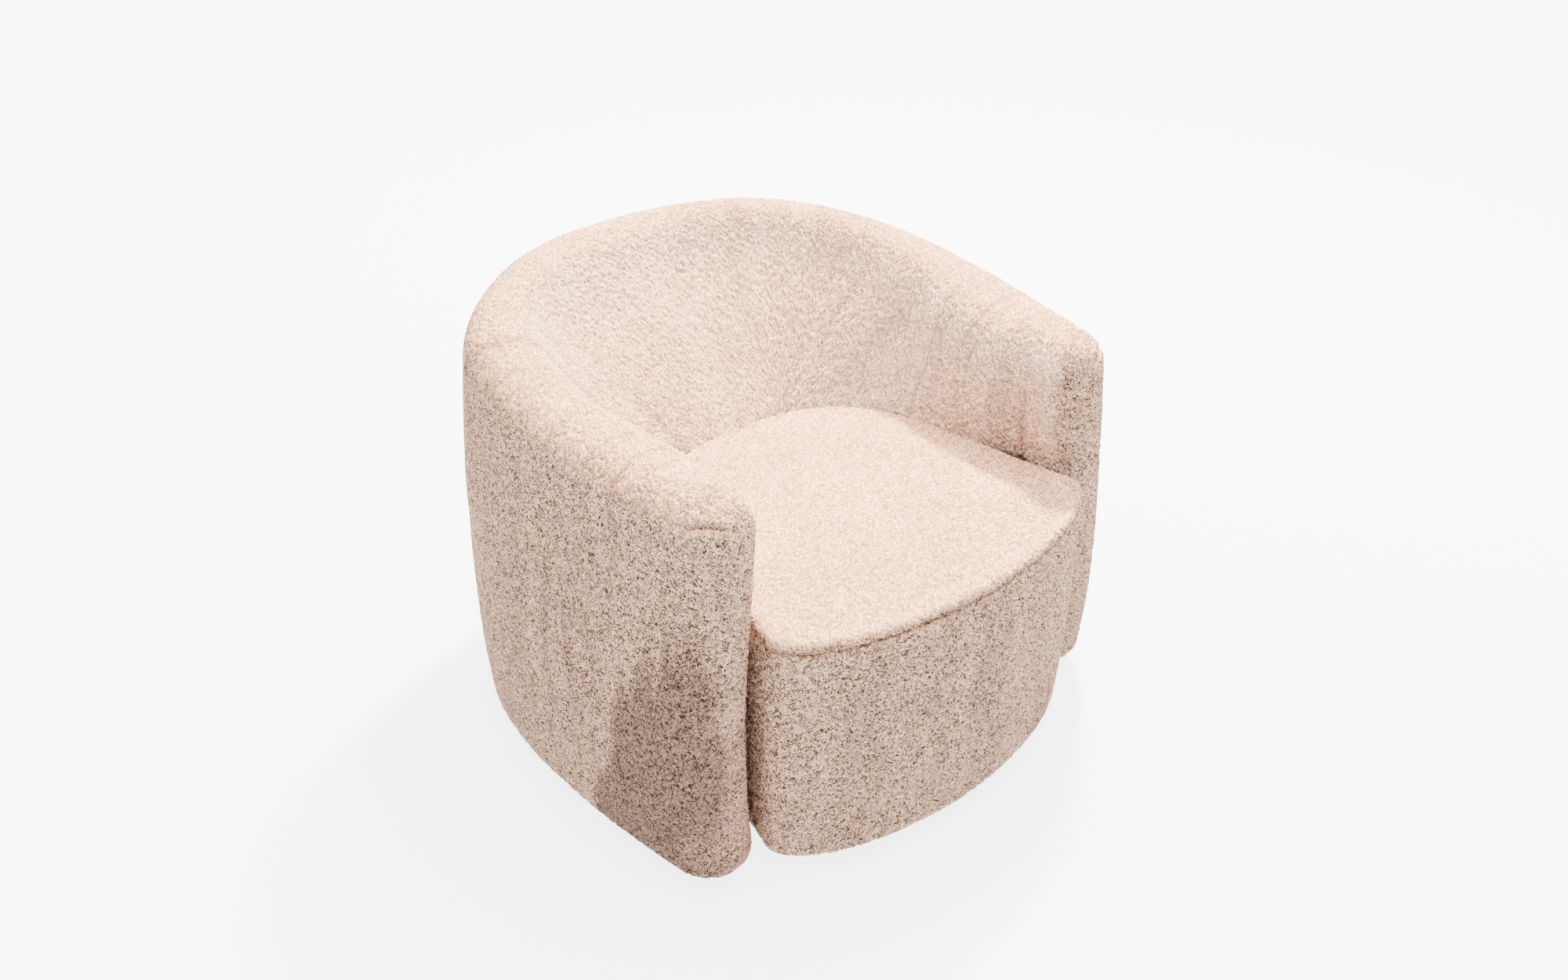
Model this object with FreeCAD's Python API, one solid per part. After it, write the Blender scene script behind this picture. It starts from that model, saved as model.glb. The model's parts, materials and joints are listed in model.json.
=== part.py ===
"""Upholstered swivel tub armchair.

Millimetres, +Z up, the sitter faces -Y, X runs across the chair. The origin is on the floor,
under the middle of the chair's bounding box, and the swivel axis passes through it.
The shell (arms and back) is drawn by stations u from 0 to 3: 0 to 1 is the left arm from its
nose to the back, 1 to 2 is the curved back, 2 to 3 is the right arm.
"""
import FreeCAD
import Part
import math
import os

V = FreeCAD.Vector
UP = V(0, 0, 1)
ACROSS = V(1, 0, 0)
os.makedirs("parts", exist_ok=True)

# ---- driving dimensions: overall form -----------------------------------------------------
floor_gap = 30.0            # underside of the upholstery above the floor
half_width = 453.0          # outer face of the arms at two thirds of their height
back_y = 451.0              # outer face of the back at two thirds of its height
curve_y = 21.0              # where the straight arms end and the curved back begins
nose_y = -323.0             # front of the arm noses at arm height
plan_power = 2.42           # superellipse power of the curved back
toe_in = 35.0               # how far the arm noses turn inward
arm_thickness = 119.5
back_thickness = 109.5
arm_front_height = 598.0    # heights are from the underside of the upholstery
arm_back_height = 616.0
back_height = 671.0
side_lean = (-5.0, -14.0, 2.0, 21.0)   # inward shift at the foot, 1/3, 2/3 and the top
back_lean = (0.0, 1.0, 1.0, 30.0)
nose_rake = 23.0            # the foot of each nose is this far in front of its top
foot_roll = 22.0            # radius of the rolled bottom edges

# ---- driving dimensions: seat -------------------------------------------------------------
tuck_half_width = 280.0     # where the seat meets the inside of the arms
tuck_back_y = 105.0         # where the seat meets the inside back
tuck_front_y = -377.0       # centre of the tuck line's superellipse
tuck_power = 2.88
tuck_height = 377.0
seam_height = 388.0         # seam between the seat top and the front band
band_half_width = 305.0
band_side_y = -338.0
band_depth = 102.0          # how far the band bulges forward of its sides
band_power = 1.89
band_kick = 14.0            # the band's foot is this far in front of its seam
widen_y = -120.0            # in front of this line the seat widens towards the band
crown = 22.0
seat_clearance = 1.0        # all round, between the seat and the shell
band_end_y = -215.0         # the band's cover ends here, behind the arm noses

# ---- driving dimensions: layers -----------------------------------------------------------
cover = 3.0
layer_gap = 0.4
wadding = 11.0
board = 3.0
frame_inset = 19.0          # outer face of the frame, in from the outer face of the cover
frame_width = 55.0
ply = 18.0
seat_frame_inset = 20.0
seat_frame_width = 60.0
ring_opening = 0.76         # opening of the seat's top ring, as a share of its plan
back_foam = 55.0            # foam thickness on the inside back at seat level
roll_drop = 10.0            # the top roll's foam reaches this far below the roll's centre
spring_pad_gap = 9.5        # height of the felt pad above the seat's top ring
spring_pad_thickness = 4.0
cushion_lift = 14.0         # height of the seat foam above the seat's top ring
padding_foot = 4.0          # padding starts this far above the rolled bottom edges
apron_inset = 15.0
apron_back_gap = 2.5        # between the apron and the seat frame

# ---- driving dimensions: swivel -----------------------------------------------------------
glide_height = 5.0
glide_radius = 16.0
glide_circle = 235.0
disc_radius = 270.0
disc_thickness = 18.0
plate_radius = 150.0
plate_thickness = 4.0
plate_gap = 4.0
ball_radius = 4.0
ball_circle = 120.0
ball_count = 24
ball_clearance = 0.05
cage_thickness = 2.0
bolt_circle = 85.0
screw_circle = 140.0
pivot_radius = 6.0

glides_top = glide_height
disc_top = glides_top + disc_thickness
lower_top = disc_top + plate_thickness
upper_bottom = lower_top + plate_gap
upper_top = upper_bottom + plate_thickness
ball_z = lower_top + plate_gap / 2
frame_bottom = upper_top
plate_top = frame_bottom + ply
foot_ring_top = plate_top - floor_gap       # heights from here on are above the underside
mid_ring_top = 290.0
mid_ring_bottom = mid_ring_top - ply
foam_drop = roll_drop + 1.0
inner_step = cover + layer_gap


# ---- helpers ------------------------------------------------------------------------------
def save(name, shape):
    """Write one node to its STEP file."""
    shape.exportStep("parts/%s.step" % name)
    print("%-26s %3d solids %10.1f cm3" % (name, len(shape.Solids), shape.Volume / 1000))


def signed_power(value, power):
    return math.copysign(abs(value) ** power, value)


def mix(a, b, share):
    return a + (b - a) * share


def cubic(values, q):
    """The cubic curve through four values at q = 0, 1/3, 2/3 and 1."""
    total = 0.0
    for i, value in enumerate(values):
        for j in range(4):
            if j != i:
                value *= (3 * q - j) / (i - j)
        total += value
    return total


def spline(points):
    curve = Part.BSplineCurve()
    curve.interpolate(points)
    return curve.toShape()


def closed_spline(points):
    curve = Part.BSplineCurve()
    curve.interpolate(points, PeriodicFlag=True)
    return Part.Wire([curve.toShape()])


def loft(wires):
    return Part.makeLoft(wires, True, False)


def cylinder(radius, bottom, height, x=0.0, y=0.0):
    return Part.makeCylinder(radius, height, V(x, y, bottom))


def slab(bottom, top, low_y=-600.0, high_y=600.0):
    """A wide level block, used to keep only a range of heights and depths."""
    return Part.makeBox(1400, high_y - low_y, top - bottom, V(-700, low_y, bottom))


def around(count, radius, start=0.0):
    """Points evenly round a circle about the swivel axis."""
    angles = [start + 2 * math.pi * i / count for i in range(count)]
    return [(radius * math.cos(a), radius * math.sin(a)) for a in angles]


def compound(shapes):
    return Part.makeCompound(shapes)


# ---- the shell's geometry -----------------------------------------------------------------
def centre_line(u):
    """Plan of the middle of the shell's wall."""
    half = half_width - arm_thickness / 2
    depth = back_y - back_thickness / 2 - curve_y
    front = nose_y + arm_thickness / 2
    if 1 <= u <= 2:
        angle = math.pi * (u - 1)
        x = -half * signed_power(math.cos(angle), 2 / plan_power)
        return x, curve_y + depth * signed_power(math.sin(angle), 2 / plan_power)
    share = u if u < 1 else 3 - u
    side = -1 if u < 1 else 1
    x = side * (half - toe_in * (1 - share) ** 2)
    return x, mix(front, curve_y, share)


def station(u):
    """Centre point and outward direction of the wall at u."""
    step = 0.004
    low = max(u - step, 0.0)
    high = min(u + step, 3.0)
    x0, y0 = centre_line(low)
    x1, y1 = centre_line(high)
    length = math.hypot(x1 - x0, y1 - y0)
    x, y = centre_line(u)
    return x, y, -(y1 - y0) / length, (x1 - x0) / length


def back_share(u):
    y = centre_line(u)[1]
    return min(max((y - curve_y) / (back_y - back_thickness / 2 - curve_y), 0.0), 1.0)


def front_share(u):
    y = centre_line(u)[1]
    return min(max((curve_y - y) / (curve_y - nose_y), 0.0), 1.0)


def half_thickness(u):
    return mix(arm_thickness, back_thickness, back_share(u)) / 2


def height(u):
    """Top of the shell: a parabola through the nose, the middle and the back."""
    share = (centre_line(u)[1] - nose_y) / (back_y - nose_y)
    return (arm_front_height * (1 - share) * (1 - 2 * share)
            + arm_back_height * 4 * share * (1 - share)
            + back_height * share * (2 * share - 1))


def lean(u, z):
    """How far the wall has moved inward at z above the underside."""
    q = z / height(u)
    return mix(cubic(side_lean, q), cubic(back_lean, q), back_share(u))


def wall_point(u, offset, z, leaning=True):
    """A point offset outward from the wall's middle, z above the underside."""
    x, y, nx, ny = station(u)
    out = offset - (lean(u, z) if leaning else 0.0)
    rake = nose_rake * (1 - z / height(u)) * front_share(u)
    return V(x + nx * out, y + ny * out - rake, floor_gap + z)


def tuck_line(angle):
    """Plan of the line where the seat meets the shell, angle 0 left to pi right."""
    x = -tuck_half_width * signed_power(math.cos(angle), 2 / tuck_power)
    y = tuck_front_y + (tuck_back_y - tuck_front_y) * signed_power(math.sin(angle), 2 / tuck_power)
    forward = max((widen_y - y) / (widen_y - band_side_y), 0.0)
    x += math.copysign((band_half_width - tuck_half_width) * min(forward, 1.0) ** 2, x)
    return x, y


def tuck_offset(u):
    """Distance from the wall's middle in to the tuck line, along the station."""
    x, y, nx, ny = station(u)
    nearest = None
    steps = 240
    line = [tuck_line(math.pi * i / steps) for i in range(steps + 1)]
    for (ax, ay), (bx, by) in zip(line, line[1:]):
        across_a = (ax - x) * ny - (ay - y) * nx
        across_b = (bx - x) * ny - (by - y) * nx
        if across_a * across_b <= 0 and across_a != across_b:
            share = across_a / (across_a - across_b)
            inward = -((mix(ax, bx, share) - x) * nx + (mix(ay, by, share) - y) * ny)
            if inward > 0 and (nearest is None or inward < nearest):
                nearest = inward
    return max(nearest, half_thickness(u))


ARM = [0.0, 0.25, 0.5, 0.75, 1.0]
BACK = [1.0, 1.04, 1.1, 1.18, 1.26, 1.34, 1.42, 1.5, 1.58, 1.66, 1.74, 1.82, 1.9, 1.96, 2.0]
LEFT_ARM = ARM
RIGHT_ARM = [3 - u for u in reversed(ARM)]
SHELL = ARM[:-1] + BACK + RIGHT_ARM[1:]
TUCK = {u: tuck_offset(u) for u in SHELL}


def tuck_at(u):
    if u not in TUCK:
        TUCK[u] = tuck_offset(u)
    return TUCK[u]


def roll_centre(u):
    return height(u) - half_thickness(u)


def side_curve(u, offset, low, high):
    """The wall's leaning face at one station, from low to high."""
    return spline([wall_point(u, offset, mix(low, high, i / 3)) for i in range(4)])


def ring_wire(points):
    return Part.makePolygon(points + points[:1])


def layer(stations, outer, inner, low, drop):
    """A layer parallel to the outer face, between two insets, up to drop below the top roll."""
    wires = []
    for u in stations:
        half = half_thickness(u)
        top = roll_centre(u) - drop
        a = side_curve(u, half - outer, low, top)
        b = side_curve(u, half - inner, low, top)
        across = Part.makeLine(wall_point(u, half - outer, top), wall_point(u, half - inner, top))
        under = Part.makeLine(wall_point(u, half - inner, low), wall_point(u, half - outer, low))
        wires.append(Part.Wire([a, across, b, under]))
    return loft(wires)


def inner_point(u, inset, z):
    """A point behind the inside face: sloping from the roll down to the tuck line."""
    top = roll_centre(u)
    face = half_thickness(u) + lean(u, top)
    share = min(max((top - z) / (top - tuck_height), 0.0), 1.0)
    return wall_point(u, inset - mix(face, tuck_at(u), share), z, leaning=False)


def envelope(stations, inset, low):
    """The whole wall as one solid, inset all round from the outer face of the cover."""
    wires = []
    for u in stations:
        half = half_thickness(u) - inset
        top = roll_centre(u)
        roll = foot_roll - inset
        bend = roll * (1 - math.sqrt(0.5))
        outer_foot = wall_point(u, half - roll, low)
        outer_low = wall_point(u, half, low + roll)
        outer_bend = wall_point(u, half - bend, low + bend)
        crest = wall_point(u, -lean(u, top), top + half, leaning=False)
        inner_top = inner_point(u, inset, top)
        inner_tuck = inner_point(u, inset, tuck_height)
        inner_low = inner_point(u, inset, low + roll)
        inner_foot = inner_point(u, inset + roll, low)
        inner_bend = inner_point(u, inset + bend, low + bend)
        edges = [Part.Arc(outer_foot, outer_bend, outer_low).toShape(),
                 side_curve(u, half, low + roll, top),
                 Part.Arc(wall_point(u, half, top), crest, inner_top).toShape(),
                 Part.makeLine(inner_top, inner_tuck),
                 Part.makeLine(inner_tuck, inner_low),
                 Part.Arc(inner_low, inner_bend, inner_foot).toShape(),
                 Part.makeLine(inner_foot, outer_foot)]
        wires.append(Part.Wire(edges))
    return loft(wires)


def nose(u, inset, low):
    """The rounded front end of an arm: level half discs from the foot to the domed top."""
    top = roll_centre(u)
    full = half_thickness(u) - inset
    roll = foot_roll - inset
    levels = []
    for degrees in (0, 25, 50, 90):
        angle = math.radians(degrees)
        levels.append((low + roll * (1 - math.cos(angle)), full - roll * (1 - math.sin(angle))))
    levels += [(mix(low + roll, top, i / 12), full) for i in range(1, 13)]
    for degrees in range(10, 90, 10):
        angle = math.radians(degrees)
        levels.append((top + full * math.sin(angle), full * math.cos(angle)))
    x, y, nx, ny = station(u)
    out = V(nx, ny, 0)
    ahead = V(-ny, nx, 0) if u < 1 else V(ny, -nx, 0)
    wires = []
    for z, radius in levels:
        middle = wall_point(u, -lean(u, min(z, top)), z, leaning=False)
        a = middle + out * radius
        b = middle - out * radius
        arc = Part.Arc(a, middle + ahead * radius, b).toShape()
        wires.append(Part.Wire([arc, Part.makeLine(b, a)]))
    return Part.makeLoft(wires, True, True)


# ---- the seat's geometry ------------------------------------------------------------------
def seat_outline(inset, z=0.0, shrink=1.0):
    """Closed plan of the seat drum, inset all round; the band kicks forward towards its foot."""
    kick = band_kick * (1 - min(z / seam_height, 1.0))
    points = []
    rear = 26
    for i in range(rear + 1):
        x, y = tuck_line(math.pi * i / rear)
        if y > band_side_y + 20:
            points.append((x, y))
    front = 22
    for i in range(front + 1):
        angle = math.pi * i / front
        x = band_half_width * signed_power(math.cos(angle), 2 / band_power)
        depth = (band_depth + kick) * signed_power(math.sin(angle), 2 / band_power)
        points.append((x, band_side_y - depth))
    count = len(points)
    middle_y = (tuck_back_y + band_side_y - band_depth) / 2
    outline = []
    inset += seat_clearance
    for i, (x, y) in enumerate(points):
        x0, y0 = points[i - 1]
        x1, y1 = points[(i + 1) % count]
        length = math.hypot(x1 - x0, y1 - y0)
        px = x - (y0 - y1) / length * inset
        py = y - (x1 - x0) / length * inset
        outline.append(V(px * shrink, mix(middle_y, py, shrink), floor_gap + z))
    return outline


def seat_wire(inset, z, shrink=1.0):
    return closed_spline(seat_outline(inset, z, shrink))


def seat_block(inset, low, high):
    """The seat drum between two heights, inset all round."""
    return loft([seat_wire(inset, low), seat_wire(inset, high)])


def crowned_seat(inset, low):
    """The seat's cushion: upright sides and a crowned top."""
    edge = seam_height - inset
    rise = [(1.0, 0.0), (0.95, 0.35), (0.85, 0.65), (0.65, 0.9), (0.35, 1.0)]
    wires = [seat_wire(inset, low)]
    wires += [seat_wire(inset, edge + crown * share, shrink) for shrink, share in rise]
    return Part.makeLoft(wires, True, True)


# ---- swivel base --------------------------------------------------------------------------
def screw(x, y, top, length, radius, down=True):
    """A countersunk screw, its head's face at top, pointing down or up."""
    way = -1 if down else 1
    head = Part.makeCone(2 * radius, radius, radius, V(x, y, top), UP * way)
    shank = Part.makeCylinder(radius, length, V(x, y, top), UP * way)
    return head.fuse(shank).removeSplitter()


def hexagon(width, bottom, thickness, x=0.0, y=0.0):
    corners = [V(x + px, y + py, bottom) for px, py in around(6, width / math.sqrt(3))]
    return Part.Face(ring_wire(corners)).extrude(UP * thickness)


def race():
    """The groove that the balls run in."""
    return Part.makeTorus(ball_circle, ball_radius + ball_clearance, V(0, 0, ball_z))


def glide_screw_set():
    return [screw(x, y, 2.0, 14.0, 2.0, down=False) for x, y in around(6, glide_circle)]


def plate_screw_set():
    return [screw(x, y, lower_top, 18.0, 2.25) for x, y in around(8, screw_circle, 0.2)]


def plate_bolt_set():
    length = plate_top - upper_bottom + 9
    return [screw(x, y, upper_bottom, length, 3.0, down=False)
            for x, y in around(4, bolt_circle, math.pi / 4)]


def build_base():
    glides = []
    for x, y in around(6, glide_circle):
        glide = cylinder(glide_radius, 0, glide_height, x, y)
        glide = glide.makeChamfer(1.0, [glide.Edges[2]])
        glides.append(glide.cut(cylinder(4.0, 0, 2.0, x, y)).cut(compound(glide_screw_set())))
    save("floor_glides", compound(glides))
    save("glide_screws", compound(glide_screw_set()))

    disc = cylinder(disc_radius, glides_top, disc_thickness)
    disc = disc.makeFillet(3.0, [disc.Edges[0], disc.Edges[2]])
    disc = disc.cut(cylinder(20.0, glides_top, disc_thickness))
    save("base_disc", disc.cut(compound(glide_screw_set() + plate_screw_set())))

    lower = cylinder(plate_radius, disc_top, plate_thickness)
    lower = lower.cut(race()).cut(cylinder(pivot_radius, disc_top, plate_thickness))
    save("lower_swivel_plate", lower.cut(compound(plate_screw_set())))
    save("lower_plate_screws", compound(plate_screw_set()))

    head = cylinder(14.0, disc_top - 5, 5)
    shank = cylinder(pivot_radius, disc_top, 27)
    save("pivot_bolt", head.fuse(shank).removeSplitter())
    washer_bottom = upper_top + 1.6
    washer = cylinder(15.0, washer_bottom, 2.4).cut(cylinder(pivot_radius, washer_bottom, 2.4))
    save("pivot_washer", washer)
    nut_bottom = washer_bottom + 2.4
    save("pivot_nut", hexagon(19.0, nut_bottom, 8.0).cut(cylinder(pivot_radius, nut_bottom, 8.0)))


def build_race():
    balls = [Part.makeSphere(ball_radius, V(x, y, ball_z)) for x, y in around(ball_count, ball_circle)]
    save("swivel_balls", compound(balls))
    bottom = ball_z - cage_thickness / 2
    cage = cylinder(ball_circle + 10, bottom, cage_thickness)
    cage = cage.cut(cylinder(ball_circle - 10, bottom, cage_thickness))
    holes = [cylinder(ball_radius + ball_clearance, bottom, cage_thickness, x, y)
             for x, y in around(ball_count, ball_circle)]
    save("ball_cage", cage.cut(compound(holes)))


def build_upper_swivel():
    upper = cylinder(plate_radius, upper_bottom, plate_thickness)
    upper = upper.cut(race()).cut(cylinder(9.0, upper_bottom, plate_thickness))
    save("upper_swivel_plate", upper.cut(compound(plate_bolt_set())))
    bush = cylinder(9.0, upper_bottom, plate_thickness).fuse(cylinder(13.0, upper_top, 1.5))
    bore = cylinder(pivot_radius + 0.05, upper_bottom, plate_thickness + 1.5)
    save("pivot_bush", bush.removeSplitter().cut(bore))
    save("upper_plate_bolts", compound(plate_bolt_set()))
    nuts = [hexagon(10.0, plate_top, 6.0, x, y) for x, y in around(4, bolt_circle, math.pi / 4)]
    save("upper_plate_nuts", compound([nut.cut(compound(plate_bolt_set())) for nut in nuts]))


# ---- seat frame ---------------------------------------------------------------------------
def seat_plate(inset, bottom, thickness):
    """A level plate with the seat's plan; bottom is above the underside."""
    return Part.Face(seat_wire(inset, bottom + thickness)).extrude(UP * -thickness)


SEAT_POSTS = [(0.0, -389.0), (-234.0, -310.0), (234.0, -310.0), (-226.0, -90.0), (226.0, -90.0),
              (-96.0, 50.0), (96.0, 50.0)]
post_width = 40.0
spring_lines = (-168.0, -84.0, 0.0, 84.0, 168.0)
spring_wire = 1.9
spring_half_width = 16.0
spring_pitch = 20.0
tie_lines = (-230.0, -90.0)
tie_radius = 1.5
tie_length = 400.0


def seat_post_screws():
    screws = []
    for x, y in SEAT_POSTS:
        screws.append(screw(x, y, frame_bottom, 50.0, 2.5, down=False))
        screws.append(screw(x, y, floor_gap + mid_ring_top, 50.0, 2.5))
    return screws


def front_line(x):
    """Front edge of the seat's plan at x."""
    return band_side_y - band_depth * (1 - (abs(x) / band_half_width) ** band_power) ** (1 / band_power)


def rear_line(x):
    """Rear edge of the seat's plan at x."""
    share = (1 - (abs(x) / tuck_half_width) ** tuck_power) ** (1 / tuck_power)
    return tuck_front_y + (tuck_back_y - tuck_front_y) * share


def sinuous_spring(x):
    """A flat zigzag spring, from the front of the seat ring to its back."""
    z = floor_gap + mid_ring_top + spring_wire + 1.0
    start = front_line(x) + seat_frame_inset + seat_frame_width * 0.55
    end = rear_line(x) - seat_frame_inset - seat_frame_width * 0.55
    turns = int((end - start) / spring_pitch)
    pitch = (end - start) / turns
    bend = pitch / 2
    edges = []
    side = -1
    first = V(x - 10 * side, start, z)
    for i in range(turns + 1):
        y = start + i * pitch
        last = V(x + side * (10 if i == turns else spring_half_width), y, z)
        edges.append(Part.makeLine(first, last))
        if i < turns:
            after = V(last.x, y + pitch, z)
            edges.append(Part.Arc(last, V(last.x + side * bend, y + bend, z), after).toShape())
            first = after
            side = -side
    path = Part.Wire(edges)
    section = Part.Wire([Part.makeCircle(spring_wire, edges[0].valueAt(0), ACROSS)])
    return path.makePipeShell([section], True, False), start, end


def build_seat_frame():
    bottom = frame_bottom - floor_gap
    screws = compound(seat_post_screws())
    base = seat_plate(seat_frame_inset, bottom, ply).cut(cylinder(22.0, frame_bottom, ply))
    save("seat_base_board", base.cut(screws).cut(compound(plate_bolt_set())))
    ring = seat_plate(seat_frame_inset, mid_ring_bottom, ply)
    opening = Part.Face(seat_wire(seat_frame_inset, mid_ring_bottom, ring_opening)).extrude(UP * ply)
    ring = ring.cut(opening)
    save("seat_top_ring", ring.cut(screws))
    rise = floor_gap + mid_ring_bottom - plate_top
    posts = [Part.makeBox(post_width, post_width, rise, V(x - post_width / 2, y - post_width / 2, plate_top))
             for x, y in SEAT_POSTS]
    save("seat_posts", compound([post.cut(screws) for post in posts]))
    save("seat_post_screws", screws)

    low = foot_roll + padding_foot
    apron = seat_block(apron_inset, low, mid_ring_top)
    apron = apron.cut(seat_block(seat_frame_inset - apron_back_gap, low, mid_ring_top))
    front_only = slab(0, 900, -600, band_end_y)
    save("front_apron", apron.common(front_only))

    blocks = [(-262.0, -180.0, 100.0, 56.0), (262.0, -180.0, 100.0, 56.0), (0.0, 98.0, 70.0, 100.0)]
    ties = [Part.makeBox(w, d, 30, V(x - w / 2, y - d / 2, floor_gap + mid_ring_bottom - 30))
            for x, y, w, d in blocks]
    save("frame_tie_blocks", compound(ties))

    clips = []
    springs = []
    for x in spring_lines:
        spring, start, end = sinuous_spring(x)
        springs.append(spring)
        for y in (start, end):
            clip = Part.makeBox(16, 14, 5.5, V(x - 8, y - 7, floor_gap + mid_ring_top))
            clips.append(clip.cut(spring))
    save("seat_springs", compound(springs))
    save("spring_clips", compound(clips))
    z = floor_gap + mid_ring_top + 1.0 + 2 * spring_wire + tie_radius + 0.2
    ties = [Part.makeCylinder(tie_radius, tie_length, V(-tie_length / 2, y, z), ACROSS) for y in tie_lines]
    save("spring_tie_wires", compound(ties))
    save("spring_pad", seat_plate(14, mid_ring_top + spring_pad_gap, spring_pad_thickness))


def build_seat_padding():
    save("seat_foam", crowned_seat(inner_step, mid_ring_top + cushion_lift))
    outer = crowned_seat(0, tuck_height - 60)
    inner = crowned_seat(cover, mid_ring_top)
    below_seam = slab(0, floor_gap + seam_height, -600, band_end_y)
    save("seat_cover", outer.cut(inner).cut(below_seam))

    def band_skin(inset, low):
        """The band with its rolled foot, inset all round."""
        roll = foot_roll - inset
        wires = [seat_wire(inset + roll * (1 - math.sin(a)), low + roll * (1 - math.cos(a)))
                 for a in (0, math.pi / 6, math.pi / 3, math.pi / 2)]
        wires.append(seat_wire(inset, seam_height - layer_gap))
        return Part.makeLoft(wires, True, True)

    front_only = slab(0, 900, -600, band_end_y)
    skin = band_skin(0, 0).cut(band_skin(cover, cover)).common(front_only)
    opening = seat_block(50, -5, 30).cut(slab(floor_gap + 10, 900))
    save("front_band_cover", skin.cut(opening))
    low = foot_roll + padding_foot
    top = mid_ring_top + spring_pad_gap - 0.5
    pad = seat_block(inner_step, low, top).cut(seat_block(apron_inset - layer_gap, low, top))
    save("front_band_padding", pad.common(front_only))


# ---- shell frame --------------------------------------------------------------------------
RIBS = {
    "left_front_post": 0.07, "left_arm_stud": 0.55, "left_corner_rib": 1.0,
    "back_left_rib": 1.22, "back_centre_rib": 1.5, "back_right_rib": 1.78,
    "right_corner_rib": 2.0, "right_arm_stud": 2.45, "right_front_post": 2.93,
}
rib_thickness = 22.0
rib_setback = 6.0           # room for the webbing between the ribs and the foam
rail_drop = 8.0
rail_thickness = 22.0
foot_ring_inset = 27.0
STRAPS = [(325, 375), (395, 440), (455, 498)]
rail_zone = (400.0, 350.0)  # bottom and height of the blocks that the sloping rails are cut from


def frame_offset(u, inset, z):
    """Offset of a face parallel to the outer face, without the rake of the nose."""
    return half_thickness(u) - inset - lean(u, z)


def plan_point(u, offset, z):
    x, y, nx, ny = station(u)
    return V(x + nx * offset, y + ny * offset, floor_gap + z)


def rib_offset(u, z):
    """Front edge of the ribs: the frame's width at the top, deeper towards the seat."""
    top = roll_centre(u) - rail_drop
    high = frame_offset(u, frame_inset + frame_width, top)
    deep = -max(tuck_at(u) - back_foam, -high)
    share = min(max((top - z) / (top - tuck_height), 0.0), 1.0)
    return mix(high, deep, share)


def fine(low=0.0, high=3.0, count=48):
    return [mix(low, high, i / count) for i in range(count + 1)]


def c_plate(bottom, thickness, outer, inner):
    """A level plate that follows the shell; outer and inner give its edges' offsets at u."""
    line = fine(0.02, 2.98)
    a = spline([plan_point(u, outer(u), bottom) for u in line])
    b = spline([plan_point(u, inner(u), bottom) for u in line])
    start = Part.makeLine(a.valueAt(a.FirstParameter), b.valueAt(b.FirstParameter))
    end = Part.makeLine(a.valueAt(a.LastParameter), b.valueAt(b.LastParameter))
    return Part.Face(Part.Wire([start, a, end, b])).extrude(UP * thickness)


def rail_line(y):
    """Top face of the rails in side view: one slope on the arms, a steeper one at the back."""
    knee = floor_gap + roll_centre(1.0) - rail_drop
    if y < curve_y:
        front_y = centre_line(0.0)[1]
        front = floor_gap + roll_centre(0.0) - rail_drop
        return mix(front, knee, (y - front_y) / (curve_y - front_y))
    rear_y = centre_line(1.5)[1]
    rear = floor_gap + roll_centre(1.5) - rail_drop
    return mix(knee, rear, (y - curve_y) / (rear_y - curve_y))


def side_prism(low_y, high_y, rise_from, drop_to):
    """A block across the chair between two lines parallel to the rails in side view."""
    corners = [V(-700, low_y, rise_from(low_y)), V(-700, high_y, rise_from(high_y)),
               V(-700, high_y, drop_to(high_y)), V(-700, low_y, drop_to(low_y))]
    return Part.Face(ring_wire(corners)).extrude(V(1400, 0, 0))


def rail_block(low_y, high_y):
    return side_prism(low_y, high_y, rail_line, lambda y: rail_line(y) - rail_thickness)


def below_rails():
    arms = side_prism(-600, curve_y, lambda y: rail_line(y) - rail_thickness, lambda y: 0.0)
    back = side_prism(curve_y, 600, lambda y: rail_line(y + 1e-6) - rail_thickness, lambda y: 0.0)
    return arms.fuse(back)


def rib(u, thickness, points):
    """An upright plate across the wall at u, from (offset, height) points."""
    x, y, nx, ny = station(u)
    along = V(-ny, nx, 0)
    corners = [plan_point(u, offset, z) - along * (thickness / 2) for offset, z in points]
    return Part.Face(ring_wire(corners)).extrude(along * thickness)


def lower_upright(u):
    levels = (foot_ring_top, (foot_ring_top + mid_ring_bottom) / 2, mid_ring_bottom)
    points = [(frame_offset(u, foot_ring_inset, z) - 1, z) for z in levels]
    points += [(points[0][0] - 44, z) for z in (mid_ring_bottom, foot_ring_top)]
    return rib(u, rib_thickness, points)


def upper_rib(u, region):
    top = roll_centre(u) + 5
    levels = (mid_ring_top, 380.0, 460.0, 520.0, top)
    points = [(frame_offset(u, frame_inset + 1, z), z) for z in levels]
    levels = (top, roll_centre(u) - rail_drop, tuck_height, mid_ring_top)
    points += [(rib_offset(u, z) + rib_setback, z) for z in levels]
    return rib(u, rib_thickness, points).common(region)


def upright_screws(which):
    """Screws at the head and foot of every upright, set in from its outer edge."""
    screws = []
    for u in RIBS.values():
        p = plan_point(u, frame_offset(u, foot_ring_inset + 22, 150), 0)
        if which == "foot":
            screws.append(screw(p.x, p.y, frame_bottom, 50, 2.5, down=False))
        elif which == "middle":
            screws.append(screw(p.x, p.y, floor_gap + mid_ring_top, 50, 2.5))
        else:
            q = plan_point(u, frame_offset(u, frame_inset + 26, roll_centre(u)), 0)
            slope = 4.5
            screws.append(screw(q.x, q.y, rail_line(q.y) - slope, 55, 2.5))
            screws.append(cylinder(6.0, rail_line(q.y) - slope, 40, q.x, q.y))
    return screws


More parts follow.
